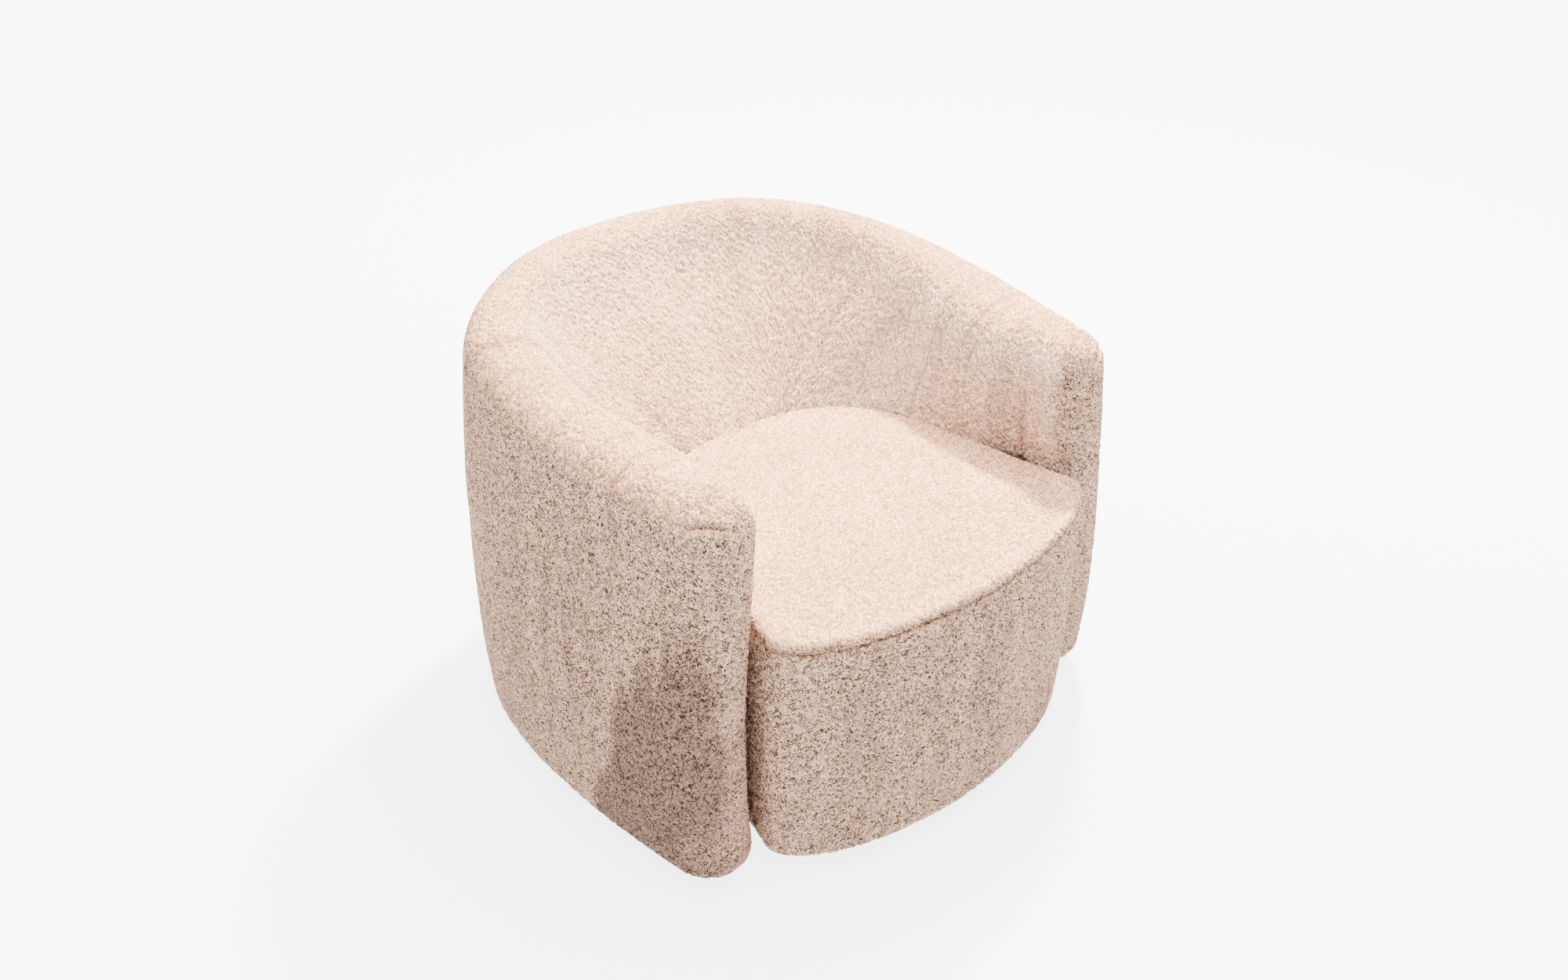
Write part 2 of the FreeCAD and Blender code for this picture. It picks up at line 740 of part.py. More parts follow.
def webbing():
    """Three straps round the inside of the ribs, behind the foam."""
    straps = []
    for low, high in STRAPS:
        wires = []
        for u in [0.07] + SHELL[1:-1] + [2.93]:
            wires.append(ring_wire([plan_point(u, rib_offset(u, z) + out, z)
                                    for z, out in ((low, 2), (high, 2), (high, 4), (low, 4))]))
        straps.append(loft(wires))
    return compound(straps)


def build_shell_frame():
    foot = compound(upright_screws("foot"))
    middle = compound(upright_screws("middle"))
    head_parts = upright_screws("head")
    head = compound(head_parts[0::2])
    recess = compound(head_parts)
    low = frame_bottom - floor_gap
    foot_ring = c_plate(low, ply, lambda u: frame_offset(u, foot_ring_inset, low),
                        lambda u: frame_offset(u, foot_ring_inset + frame_width, low))
    save("shell_foot_ring", foot_ring.cut(foot))
    mid_ring = c_plate(mid_ring_bottom, ply, lambda u: frame_offset(u, frame_inset, mid_ring_bottom),
                       lambda u: 2 - tuck_at(u))
    mid_ring = mid_ring.cut(seat_block(-2, mid_ring_bottom - 5, mid_ring_top + 5))
    save("shell_middle_ring", mid_ring.cut(middle))

    tall = c_plate(*rail_zone, lambda u: frame_offset(u, frame_inset, roll_centre(u)),
                   lambda u: frame_offset(u, frame_inset + frame_width, roll_centre(u)))
    arms = tall.common(rail_block(-600, curve_y)).cut(recess)
    left, right = sorted(arms.Solids, key=lambda s: s.CenterOfMass.x)
    save("left_arm_rail", left)
    save("right_arm_rail", right)
    save("back_top_rail", tall.common(rail_block(curve_y, 600)).cut(recess))

    region = below_rails()
    straps = webbing()
    save("inner_webbing", straps)
    uprights = []
    for name, u in RIBS.items():
        save(name, upper_rib(u, region).cut(head).cut(straps))
        uprights.append(lower_upright(u).cut(foot).cut(middle))
    save("lower_arm_uprights", compound(uprights[:2] + uprights[-2:]))
    save("lower_back_uprights", compound(uprights[2:-2]))
    save("frame_screws", compound(foot.Solids + middle.Solids + head.Solids))


# ---- shell padding and covers -------------------------------------------------------------
def inside_foam(stations):
    """Foam between the webbing and the inside cover, from the middle ring to the top roll."""
    wires = []
    for u in stations:
        top = roll_centre(u) - foam_drop
        low = mid_ring_top + layer_gap
        corners = [inner_point(u, inner_step - 1, z) for z in (top, tuck_height, low)]
        corners += [wall_point(u, rib_offset(u, z) - 1.5, z, leaning=False)
                    for z in (low, tuck_height, top)]
        wires.append(ring_wire(corners))
    return loft(wires).cut(seat_block(-4, mid_ring_top - 5, seam_height + 4))


def top_roll(stations):
    wires = []
    for u in stations:
        top = roll_centre(u)
        half = half_thickness(u) - inner_step + 1
        outer = wall_point(u, half, top)
        crest = wall_point(u, -lean(u, top), top + half, leaning=False)
        inner = inner_point(u, inner_step - 1, top)
        outer_low = wall_point(u, half, top - roll_drop)
        inner_low = inner_point(u, inner_step - 1, top - roll_drop)
        wires.append(Part.Wire([Part.makeLine(outer_low, outer), Part.Arc(outer, crest, inner).toShape(),
                                Part.makeLine(inner, inner_low), Part.makeLine(inner_low, outer_low)]))
    return loft(wires)


def build_shell_padding():
    top = foam_drop
    inside_cover = envelope(SHELL, inner_step, inner_step)
    board_face = inner_step + wadding + layer_gap
    save("outer_board", layer(SHELL, board_face, board_face + board, foot_roll + padding_foot, top))
    wrap = layer(SHELL, inner_step - 1, inner_step + wadding, foot_roll, top)
    save("outside_wadding", wrap.common(inside_cover))
    rails = rail_block(-600, curve_y).fuse(rail_block(curve_y, 600))
    rails = rails.common(c_plate(*rail_zone, lambda u: frame_offset(u, frame_inset - 1, roll_centre(u)),
                                 lambda u: frame_offset(u, frame_inset + frame_width + 1, roll_centre(u))))
    save("inside_back_foam", inside_foam(BACK).common(inside_cover))
    save("left_arm_inside_foam", inside_foam(LEFT_ARM).common(inside_cover))
    save("right_arm_inside_foam", inside_foam(RIGHT_ARM).common(inside_cover))
    save("back_roll_foam", top_roll(BACK).common(inside_cover).cut(rails))
    save("left_arm_roll_foam", top_roll(LEFT_ARM).common(inside_cover).cut(rails))
    save("right_arm_roll_foam", top_roll(RIGHT_ARM).common(inside_cover).cut(rails))
    save("left_nose_foam", nose(0.0, inner_step, inner_step))
    save("right_nose_foam", nose(3.0, inner_step, inner_step))


def build_shell_cover():
    outer = envelope(SHELL, 0, 0)
    inner = envelope(SHELL, cover, cover)
    opening = c_plate(-5, 35, lambda u: frame_offset(u, 50, 0), lambda u: -tuck_at(u) - 20)
    skin = outer.cut(inner).cut(opening).cut(seat_block(-12, -5, tuck_height - 60))
    skin = skin.cut(seat_block(-0.6, tuck_height - 61, seam_height + 4))
    save("shell_cover", skin)
    save("left_nose_cover", nose(0.0, 0, 0).cut(nose(0.0, cover, cover)))
    save("right_nose_cover", nose(3.0, 0, 0).cut(nose(3.0, cover, cover)))


def build_dust_cover():
    low = cover + layer_gap
    rear_only = slab(0, 900, band_end_y + 1, 600)
    shell_part = c_plate(low, 1.0, lambda u: frame_offset(u, foot_ring_inset + 24, low),
                         lambda u: 8 - tuck_at(u))
    seat_rear = seat_plate(-12, low, 1.0).common(rear_only)
    seat_front = seat_plate(30, low, 1.0)
    sheet = shell_part.fuse([seat_rear, seat_front]).removeSplitter()
    save("dust_cover", sheet.cut(cylinder(plate_radius + 8, floor_gap, 10)))


build_base()
build_race()
build_upper_swivel()
build_seat_frame()
build_seat_padding()
build_shell_frame()
build_shell_padding()
build_shell_cover()
build_dust_cover()
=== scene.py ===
"""Looks of the upholstered swivel tub armchair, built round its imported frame. Metres, +Z up."""
import json
import math

import bpy
import numpy as np
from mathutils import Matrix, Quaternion, Vector


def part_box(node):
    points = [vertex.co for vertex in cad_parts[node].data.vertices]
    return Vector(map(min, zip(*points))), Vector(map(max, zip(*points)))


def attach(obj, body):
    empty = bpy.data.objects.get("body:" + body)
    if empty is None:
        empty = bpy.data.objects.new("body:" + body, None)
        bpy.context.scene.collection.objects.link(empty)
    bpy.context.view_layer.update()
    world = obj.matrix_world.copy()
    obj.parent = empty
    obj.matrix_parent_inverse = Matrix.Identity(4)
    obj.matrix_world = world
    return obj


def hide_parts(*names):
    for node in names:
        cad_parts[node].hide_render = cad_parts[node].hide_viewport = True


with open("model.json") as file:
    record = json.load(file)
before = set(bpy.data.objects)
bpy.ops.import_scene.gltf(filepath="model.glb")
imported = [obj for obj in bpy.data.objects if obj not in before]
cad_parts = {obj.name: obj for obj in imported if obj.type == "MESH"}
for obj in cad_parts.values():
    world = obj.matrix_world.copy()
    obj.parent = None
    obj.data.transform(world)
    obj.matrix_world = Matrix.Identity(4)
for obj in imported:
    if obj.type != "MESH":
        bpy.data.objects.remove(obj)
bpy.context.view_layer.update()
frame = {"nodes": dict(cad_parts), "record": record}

BODY = "chair"

# ---- form, in step with the frame ---------------------------------------------------------
# Heights named _Z and those of the arms and back count up from the cover's underside.
shell_low, shell_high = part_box("shell_cover")
seat_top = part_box("seat_cover")[1].z

UNDERSIDE = shell_low.z
SIDE_LEAN = (-0.005, -0.014, 0.002, 0.021)   # inward shift at the foot, 1/3, 2/3 and the top
BACK_LEAN = (0.0, 0.001, 0.001, 0.030)
BELLY = 0.0152                               # the lean's largest outward shift
KNEE_BLUR, KNEE_REACH = 0.028, 0.042         # how the top roll runs into the sloping inside
ROLL_FULLNESS = 0.028                        # extra stuffing inside the top of the arms
HALF_WIDTH = shell_high.x - BELLY
BACK_Y = shell_high.y - 0.0008
CURVE_Y = 0.021
NOSE_Y = -0.323
PLAN_POWER = 2.42                            # squareness of the back's curve, 2 for an ellipse
TOE_IN = 0.035                               # how far the arms draw in towards their front
ARM_THICKNESS = 0.1195
BACK_THICKNESS = 0.1095
ARM_FRONT, ARM_BACK, BACK_TOP = 0.598, 0.616, 0.671
NOSE_RAKE = 0.023                            # how far the foot of a nose is ahead of its top
FOOT_ROLL = 0.022                            # radius with which the cover turns under
FLANGE = 0.030                               # width of cloth turned under
SOLE_TO_TOP = 0.53                           # longest straight run up a side

TUCK_HALF, TUCK_BACK, TUCK_FRONT, TUCK_POWER = 0.280, 0.105, -0.377, 2.88
TUCK_Z = 0.377
SEAM_Z = 0.388
BAND_HALF, BAND_SIDE_Y, BAND_DEPTH, BAND_POWER = 0.305, -0.338, 0.102, 1.89
BAND_KICK = 0.014                            # how far the band's foot is ahead of its seam
BAND_BACK_Y = -0.16                          # the band runs forward from here
BAND_BELLY = 0.003
BAND_LIP = 0.007                             # radius of the band's edge at the seam
WIDEN_Y = -0.120
SEAT_GAP = 0.0005                            # between the seat's cover and the shell's
SEAT_EDGE = 0.012                            # radius of the seat's soft top edge
SEAT_CROWN = seat_top - UNDERSIDE - SEAM_Z - 0.004
SEAT_AROUND = 1.72                           # length round the seat's plan
PUFF_LIMIT = 0.006                           # the most that the simulation may move a point
PLUMP_FRAMES = 20

STEP = 0.0025           # spacing of the cloth's vertices


# ---- small maths --------------------------------------------------------------------------
def mix(a, b, share):
    return a + (b - a) * share


def smooth(x, low, high):
    t = np.clip((x - low) / (high - low), 0.0, 1.0)
    return t * t * (3 - 2 * t)


def power(value, exponent):
    return np.sign(value) * np.abs(value) ** exponent


def cubic(values, q):
    """The cubic curve through four values at q = 0, 1/3, 2/3 and 1."""
    total = 0.0
    for i, value in enumerate(values):
        term = value
        for j in range(4):
            if j != i:
                term = term * (3 * q - j) / (i - j)
        total = total + term
    return total


def blur(values, sigma, axis):
    """Gaussian blur along one axis, with its ends held."""
    reach = max(int(3 * sigma), 1)
    weights = np.exp(-0.5 * (np.arange(-reach, reach + 1) / sigma) ** 2)
    weights /= weights.sum()
    moved = np.moveaxis(values, axis, 0)
    padded = np.concatenate([np.repeat(moved[:1], reach, 0), moved, np.repeat(moved[-1:], reach, 0)])
    out = sum(w * padded[i:i + len(moved)] for i, w in enumerate(weights))
    return np.moveaxis(out, 0, axis)


def lattice(ix, iy, iz, seed):
    """A repeatable pseudo-random number from -1 to 1 at each whole-number point."""
    h = (ix * 374761393 + iy * 668265263 + iz * 2147483647 + seed * 1274126177) & 0xFFFFFFFF
    h = ((h ^ (h >> 13)) * 1274126177) & 0xFFFFFFFF
    h = ((h ^ (h >> 16)) * 2246822519) & 0xFFFFFFFF
    return ((h ^ (h >> 15)) & 0xFFFFFF) / 8388607.5 - 1.0


def noise(points, cell, seed):
    """Smooth noise from -1 to 1, one wave about two cells long; points are (..., 3)."""
    scaled = points / cell
    base = np.floor(scaled).astype(np.int64)
    f = scaled - base
    f = f * f * f * (f * (f * 6 - 15) + 10)
    total = 0.0
    for dx in (0, 1):
        for dy in (0, 1):
            for dz in (0, 1):
                corner = lattice(base[..., 0] + dx, base[..., 1] + dy, base[..., 2] + dz, seed)
                wx = f[..., 0] if dx else 1 - f[..., 0]
                wy = f[..., 1] if dy else 1 - f[..., 1]
                wz = f[..., 2] if dz else 1 - f[..., 2]
                total = total + corner * wx * wy * wz
    return total


# ---- the shell's geometry -----------------------------------------------------------------
def centre_line(u):
    """Plan of the wall's middle: left arm for u from 0 to 1, back to 2, right arm to 3."""
    half = HALF_WIDTH - ARM_THICKNESS / 2
    depth = BACK_Y - BACK_THICKNESS / 2 - CURVE_Y
    front = NOSE_Y + ARM_THICKNESS / 2
    angle = math.pi * np.clip(u - 1, 0, 1)
    back = np.stack([-half * power(np.cos(angle), 2 / PLAN_POWER),
                     CURVE_Y + depth * power(np.abs(np.sin(angle)), 2 / PLAN_POWER)], -1)
    share = np.clip(np.where(u < 1.5, u, 3 - u), 0, 1)
    side = np.where(u < 1.5, -1.0, 1.0)
    arm = np.stack([side * (half - TOE_IN * (1 - share) ** 2), mix(front, CURVE_Y, share)], -1)
    return np.where(((u >= 1) & (u <= 2))[..., None], back, arm)


def station(u):
    """Centre point and outward direction of the wall at u."""
    nudge = 0.004
    ahead = centre_line(np.minimum(u + nudge, 3.0)) - centre_line(np.maximum(u - nudge, 0.0))
    ahead /= np.linalg.norm(ahead, axis=-1, keepdims=True)
    return centre_line(u), np.stack([-ahead[..., 1], ahead[..., 0]], -1)


def tuck_line(angle):
    """Plan of the line where the seat meets the arms and back."""
    x = -TUCK_HALF * power(np.cos(angle), 2 / TUCK_POWER)
    y = TUCK_FRONT + (TUCK_BACK - TUCK_FRONT) * power(np.abs(np.sin(angle)), 2 / TUCK_POWER)
    forward = np.clip((WIDEN_Y - y) / (WIDEN_Y - BAND_SIDE_Y), 0, 1)
    return np.stack([x + np.sign(x) * (BAND_HALF - TUCK_HALF) * forward ** 2, y], -1)


def tuck_offsets(centre, out):
    """Distance from the wall's middle in to the tuck line, along each station."""
    line = tuck_line(np.linspace(0, math.pi, 400))
    a, b = line[:-1], line[1:]
    found = np.full(len(centre), np.inf)
    for i, (c, n) in enumerate(zip(centre, out)):
        sa = (a - c)[:, 0] * n[1] - (a - c)[:, 1] * n[0]
        sb = (b - c)[:, 0] * n[1] - (b - c)[:, 1] * n[0]
        crossing = sa * sb <= 0
        share = sa[crossing] / (sa[crossing] - sb[crossing] + 1e-12)
        hit = a[crossing] + (b[crossing] - a[crossing]) * share[:, None]
        inward = -((hit - c) @ n)
        inward = inward[inward > 0]
        if len(inward):
            found[i] = inward.min()
    return found


class Wall:
    """The numbers of the shell's wall at a row of stations."""

    def __init__(self, u):
        self.u = u
        self.centre, self.out = station(u)
        y = self.centre[:, 1]
        rear = BACK_Y - BACK_THICKNESS / 2
        self.back = np.clip((y - CURVE_Y) / (rear - CURVE_Y), 0, 1)
        self.front = np.clip((CURVE_Y - y) / (CURVE_Y - NOSE_Y), 0, 1)
        self.half = mix(ARM_THICKNESS, BACK_THICKNESS, self.back) / 2
        share = (y - NOSE_Y) / (BACK_Y - NOSE_Y)
        self.top = (ARM_FRONT * (1 - share) * (1 - 2 * share) + ARM_BACK * 4 * share * (1 - share)
                    + BACK_TOP * share * (2 * share - 1))
        self.roll = self.top - self.half
        self.tuck = np.maximum(tuck_offsets(self.centre, self.out), self.half)

    def lean(self, z):
        q = z / self.top[:, None]
        return mix(cubic(SIDE_LEAN, q), cubic(BACK_LEAN, q), self.back[:, None])

    def place(self, offset, z):
        """Points at outward offsets and heights, both (stations, rows)."""
        xy = self.centre[:, None] + self.out[:, None] * offset[..., None]
        rake = NOSE_RAKE * (1 - z / self.top[:, None]) * self.front[:, None]
        return np.stack([xy[..., 0], xy[..., 1] - rake, UNDERSIDE + z], -1)


def rows(length):
    """How many vertices cover a length of cloth."""
    return max(int(round(length / STEP)), 2)


FLANGE_ROWS = rows(FLANGE)
ROLL_ROWS = rows(FOOT_ROLL * math.pi / 2)
FACE_ROWS = rows(SOLE_TO_TOP)
DOME_ROWS = rows(ARM_THICKNESS / 2 * math.pi / 2)


def half_profile(wall):
    """Inset from the full half thickness, and height, from the turned-under flange to the crest."""
    ones = np.ones((len(wall.u), 1))
    s = np.linspace(0, 1, FLANGE_ROWS, endpoint=False)
    a = np.linspace(0, math.pi / 2, ROLL_ROWS, endpoint=False)
    t = np.linspace(0, 1, FACE_ROWS, endpoint=False)
    d = np.linspace(0, math.pi / 2, DOME_ROWS + 1)
    inset = [ones * (FOOT_ROLL + FLANGE * (1 - s)), ones * FOOT_ROLL * (1 - np.sin(a)),
             np.zeros((len(ones), FACE_ROWS)), wall.half[:, None] * (1 - np.cos(d))]
    z = [np.zeros((len(ones), FLANGE_ROWS)), ones * FOOT_ROLL * (1 - np.cos(a)),
         mix(FOOT_ROLL, wall.roll[:, None], t), wall.roll[:, None] + wall.half[:, None] * np.sin(d)]
    return np.concatenate(inset, 1), np.concatenate(z, 1)


def shell_grid(u):
    """The cover of the whole wall: (stations, rows, 3), outer flange over the crest to the inner one."""
    wall = Wall(u)
    inset, z = half_profile(wall)
    lean = wall.lean(np.minimum(z, wall.roll[:, None]))
    outer = wall.half[:, None] - inset - lean
    share = np.clip((wall.roll[:, None] - z) / (wall.roll[:, None] - TUCK_Z), 0, 1)
    roll_face = wall.half[:, None] + wall.lean(wall.roll[:, None])
    sloped = mix(roll_face, wall.tuck[:, None], share)
    upright = wall.half[:, None] + lean
    near_u = np.minimum(wall.u, 3 - wall.u)
    from_nose = smooth(near_u, 0.0, 0.3)[:, None]
    along = smooth(near_u, 0.0, 0.35) * (1 - smooth(near_u, 0.60, 1.30))
    domed = (wall.half[:, None] - inset) / wall.half[:, None]
    fullness = ROLL_FULLNESS * along[:, None] * np.where(z > wall.roll[:, None], domed, 1 - share ** 1.5)
    inner = -(mix(upright, sloped, from_nose) + fullness - inset)
    outer_points = wall.place(outer, z)
    inner_points = wall.place(inner, z)
    grid = np.concatenate([outer_points, inner_points[:, -2::-1]], 1)
    soft = blur(grid, KNEE_BLUR / STEP, 1)
    knee = grid.shape[1] - 1 - (FLANGE_ROWS + ROLL_ROWS + FACE_ROWS)
    near = np.exp(-0.5 * ((np.arange(grid.shape[1]) - knee) * STEP / KNEE_REACH) ** 2)
    near = near[None, :, None] * from_nose[:, :, None]
    return mix(grid, soft, near)


def nose_grid(side):
    """The rounded end of an arm: (turns, rows, 3), outer side round the front to the inner side."""
    wall = Wall(np.array([0.0 if side < 0 else 3.0]))
    inset, z = half_profile(wall)
    radius = wall.half[:, None] - inset
    middle = wall.place(-wall.lean(np.minimum(z, wall.roll[:, None])), z)[0]
    out = np.append(wall.out[0], 0.0)
    ahead = np.array([-out[1], out[0], 0.0]) * (1 if side < 0 else -1)
    turns = np.linspace(0, math.pi, rows(ARM_THICKNESS / 2 * math.pi) + 1)
    way = np.cos(turns)[:, None] * out + np.sin(turns)[:, None] * ahead
    return middle[None] + way[:, None] * radius[0][None, :, None]


# ---- the seat's geometry ------------------------------------------------------------------
def seat_outline(count, kick=0.0):
    """Closed plan of the seat: evenly spaced points and their outward directions."""
    rear = tuck_line(np.linspace(0, math.pi, 240))
    rear = rear[rear[:, 1] > BAND_SIDE_Y + 0.02]
    angle = np.linspace(0, math.pi, 240)
    front = np.stack([BAND_HALF * power(np.cos(angle), 2 / BAND_POWER),
                      BAND_SIDE_Y - (BAND_DEPTH + kick) * power(np.abs(np.sin(angle)), 2 / BAND_POWER)], -1)
    line = np.concatenate([rear, front, rear[:1]])
    along = np.concatenate([[0], np.cumsum(np.linalg.norm(np.diff(line, axis=0), axis=1))])
    even = np.linspace(0, along[-1], count, endpoint=False)
    line = np.stack([np.interp(even, along, line[:, i]) for i in (0, 1)], -1)
    ahead = np.roll(line, -2, 0) - np.roll(line, 2, 0)
    ahead /= np.linalg.norm(ahead, axis=1, keepdims=True)
    return line, np.stack([-ahead[:, 1], ahead[:, 0]], -1)


def square_border(n):
    """Row and column of the border points of an n by n grid, in order round it."""
    run = np.arange(n - 1)
    last = np.full(n - 1, n - 1)
    zero = np.zeros(n - 1, int)
    i = np.concatenate([run, last, last - run, zero])
    j = np.concatenate([zero, run, last, last - run])
    return i, j


def seat_plan(n, inset):
    """An n by n grid laid over the seat's plan: (n, n, 2), and each point's share out to the edge."""
    line, out = seat_outline(4 * (n - 1))
    line = line - out * inset
    side = np.linspace(-1, 1, n)
    x, y = np.meshgrid(side, side, indexing="ij")
    share = np.maximum(np.abs(x), np.abs(y))
    bi, bj = square_border(n)
    turn = np.unwrap(np.arctan2(side[bj], side[bi]))
    angle = np.arctan2(y, x)
    angle = np.where(angle < turn[0] - 1e-9, angle + 2 * math.pi, angle)
    steps = np.arange(len(turn) + 1)
    at = np.interp(angle, np.append(turn, turn[0] + 2 * math.pi), steps)
    edge = np.stack([np.interp(at, steps, np.append(line[:, k], line[0, k])) for k in (0, 1)], -1)
    middle = np.array([0.0, (TUCK_BACK + BAND_SIDE_Y - BAND_DEPTH) / 2])
    return mix(middle, edge, share[..., None]), share


def resample(grid, n):
    """A square grid of points refitted to n by n, smoothly."""
    for axis in (0, 1):
        grid = np.moveaxis(grid, axis, 0)
        old = len(grid)
        at = np.linspace(0, old - 1, n)
        k = np.clip(at.astype(int), 0, old - 2)
        t = (at - k).reshape(-1, *[1] * (grid.ndim - 1))
        p0, p1 = grid[np.clip(k - 1, 0, old - 1)], grid[k]
        p2, p3 = grid[k + 1], grid[np.clip(k + 2, 0, old - 1)]
        grid = 0.5 * (2 * p1 + (p2 - p0) * t + (2 * p0 - 5 * p1 + 4 * p2 - p3) * t * t
                      + (3 * p1 - p0 - 3 * p2 + p3) * t ** 3)
        grid = np.moveaxis(grid, 0, axis)
    return grid


def plump(grid):
    """Blows up a sheet of cloth sewn down at its border; returns the settled points."""
    n, m = grid.shape[:2]
    index = np.arange(n * m).reshape(n, m)
    quads = np.stack([index[:-1, :-1], index[1:, :-1], index[1:, 1:], index[:-1, 1:]], -1).reshape(-1, 4)
    mesh = bpy.data.meshes.new("plump")
    mesh.from_pydata(grid.reshape(-1, 3).tolist(), [], quads.tolist())
    piece = bpy.data.objects.new("plump", mesh)
    bpy.context.scene.collection.objects.link(piece)
    border = np.ones((n, m), bool)
    border[1:-1, 1:-1] = False
    group = piece.vertex_groups.new(name="sewn")
    group.add(index[border].tolist(), 1.0, "REPLACE")
    cloth = piece.modifiers.new("cloth", "CLOTH")
    cloth.settings.quality = 5
    cloth.settings.mass = 0.3
    cloth.settings.tension_stiffness = 25
    cloth.settings.compression_stiffness = 25
    cloth.settings.shear_stiffness = 8
    cloth.settings.bending_stiffness = 2
    cloth.settings.use_pressure = True
    cloth.settings.uniform_pressure_force = 4
    cloth.settings.shrink_min = -0.012
    cloth.settings.vertex_group_mass = "sewn"
    cloth.settings.effector_weights.gravity = 0
    cloth.point_cache.frame_start = 1
    cloth.point_cache.frame_end = PLUMP_FRAMES
    for number in range(1, PLUMP_FRAMES + 1):
        bpy.context.scene.frame_set(number)
    settled = piece.evaluated_get(bpy.context.evaluated_depsgraph_get())
    moved = np.empty(n * m * 3, np.float32)
    settled.data.vertices.foreach_get("co", moved)
    bpy.data.objects.remove(piece)
    bpy.context.scene.frame_set(1)
    moved = moved.reshape(n, m, 3).astype(float)
    shift = moved - grid
    length = np.linalg.norm(shift, axis=-1, keepdims=True)
    return grid + shift * np.minimum(1, PUFF_LIMIT / np.maximum(length, 1e-9))


def seat_top_grid():
    """The seat's top panel, (n, n, 3), and its rolled edge, (around, rows, 3)."""
    coarse = 45
    fine = rows(SEAT_AROUND / 4) + 1

    def flat(n):
        plan, share = seat_plan(n, SEAT_GAP + SEAT_EDGE)
        rise = SEAT_CROWN * (1 - share ** 2.6) + SEAT_EDGE * 0.25
        return np.concatenate([plan, (UNDERSIDE + SEAM_Z + rise)[..., None]], -1)

    top = flat(fine)
    rest = flat(coarse)
    puff = resample(plump(rest) - rest, fine)
    top = top + blur(blur(puff, 3, 0), 3, 1)
    i, j = square_border(fine)
    line, out = seat_outline(len(i))
    line = line - out * SEAT_GAP
    grid = [top[i, j]]
    edge = rows(SEAT_EDGE * math.pi / 2)
    for a in np.linspace(0, math.pi / 2, edge + 1)[1:]:
        ring = line - out * SEAT_EDGE * (1 - math.sin(a))
        height = UNDERSIDE + SEAM_Z + SEAT_EDGE * (math.cos(a) - 0.75)
        grid.append(np.column_stack([ring, np.full(len(ring), height)]))
    drop = mix(0.040, 0.005, smooth(-line[:, 1], 0.20, 0.30))
    for t in np.linspace(0, 1, rows(0.04) + 1)[1:]:
        ring = line - out * 0.005 * t
        grid.append(np.column_stack([ring, UNDERSIDE + SEAM_Z - 0.75 * SEAT_EDGE - drop * t]))
    return top, np.stack(grid, 1)


def band_grid():
    """The front band: (around, rows, 3), from its turned-under flange up to the seam."""
    count = rows(SEAT_AROUND)
    line, out = seat_outline(count)
    low, _ = seat_outline(count, BAND_KICK)
    keep = line[:, 1] < BAND_BACK_Y
    first = int(np.argmax(keep & ~np.roll(keep, 1)))
    order = np.roll(np.arange(count), -first)
    order = order[keep[order]]
    line, low, out = line[order], low[order], out[order]
    heights, insets = [], []
    for s in np.linspace(0, 1, FLANGE_ROWS, endpoint=False):
        heights.append(0.0)
        insets.append(FOOT_ROLL + FLANGE * (1 - s))
    for a in np.linspace(0, math.pi / 2, ROLL_ROWS, endpoint=False):
        heights.append(FOOT_ROLL * (1 - math.cos(a)))
        insets.append(FOOT_ROLL * (1 - math.sin(a)))
    seam = SEAM_Z - 0.75 * SEAT_EDGE - 0.004
    lip = seam - BAND_LIP
    for t in np.linspace(0, 1, rows(lip - FOOT_ROLL), endpoint=False):
        heights.append(mix(FOOT_ROLL, lip, t))
        insets.append(-BAND_BELLY * math.sin(math.pi * t))
    for a in np.linspace(0, math.pi / 2, max(rows(BAND_LIP * 1.6), 4)):
        heights.append(lip + BAND_LIP * math.sin(a))
        insets.append(BAND_LIP * (1 - math.cos(a)))
    grid = []
    for z, inset in zip(heights, insets):
        ring = mix(low, line, z / SEAM_Z) - out * (inset + SEAT_GAP)
        grid.append(np.column_stack([ring, np.full(len(ring), UNDERSIDE + z)]))
    return np.stack(grid, 1)


# ---- cloth surface ------------------------------------------------------------------------
def grid_normals(grid, closed=False):
    """Outward unit normals of a grid of points."""
    if closed:
        du = np.roll(grid, -1, 0) - np.roll(grid, 1, 0)
    else:
        du = np.gradient(grid, axis=0)
    dv = np.gradient(grid, axis=1)
    normal = np.cross(dv, du)
    length = np.linalg.norm(normal, axis=-1, keepdims=True)
    return normal / np.maximum(length, 1e-12)


NUB = 0.0048                 # size of one bouclé curl
NUB_HEIGHT = 0.0034
CURL_CELL, CURL = 0.0085, 0.0036             # how the ridges between curls wind
SHADE_PATCH_DEPTH = 1.1             # how much darker the painted shade patch on the left arm is


def boucle(points, normals, strength=1.0):
    """Raises curls of yarn on the cloth; returns the moved points and the nap from 0 to 1."""
    bend = np.stack([noise(points, CURL_CELL, seed) for seed in (11, 12, 13)], -1)
    curled = points + bend * CURL
    wide = np.minimum(np.abs(noise(curled, NUB, 21)) * 3.2, 1)
    narrow = np.minimum(np.abs(noise(curled, NUB * 0.72, 22)) * 3.0 + 0.25, 1)
    nap = np.clip(np.minimum(wide, narrow) + 0.07 * noise(points, 0.013, 23), 0, 1)
    moved = points + normals * ((nap - 0.5) * NUB_HEIGHT * strength)[..., None]
    return moved, nap


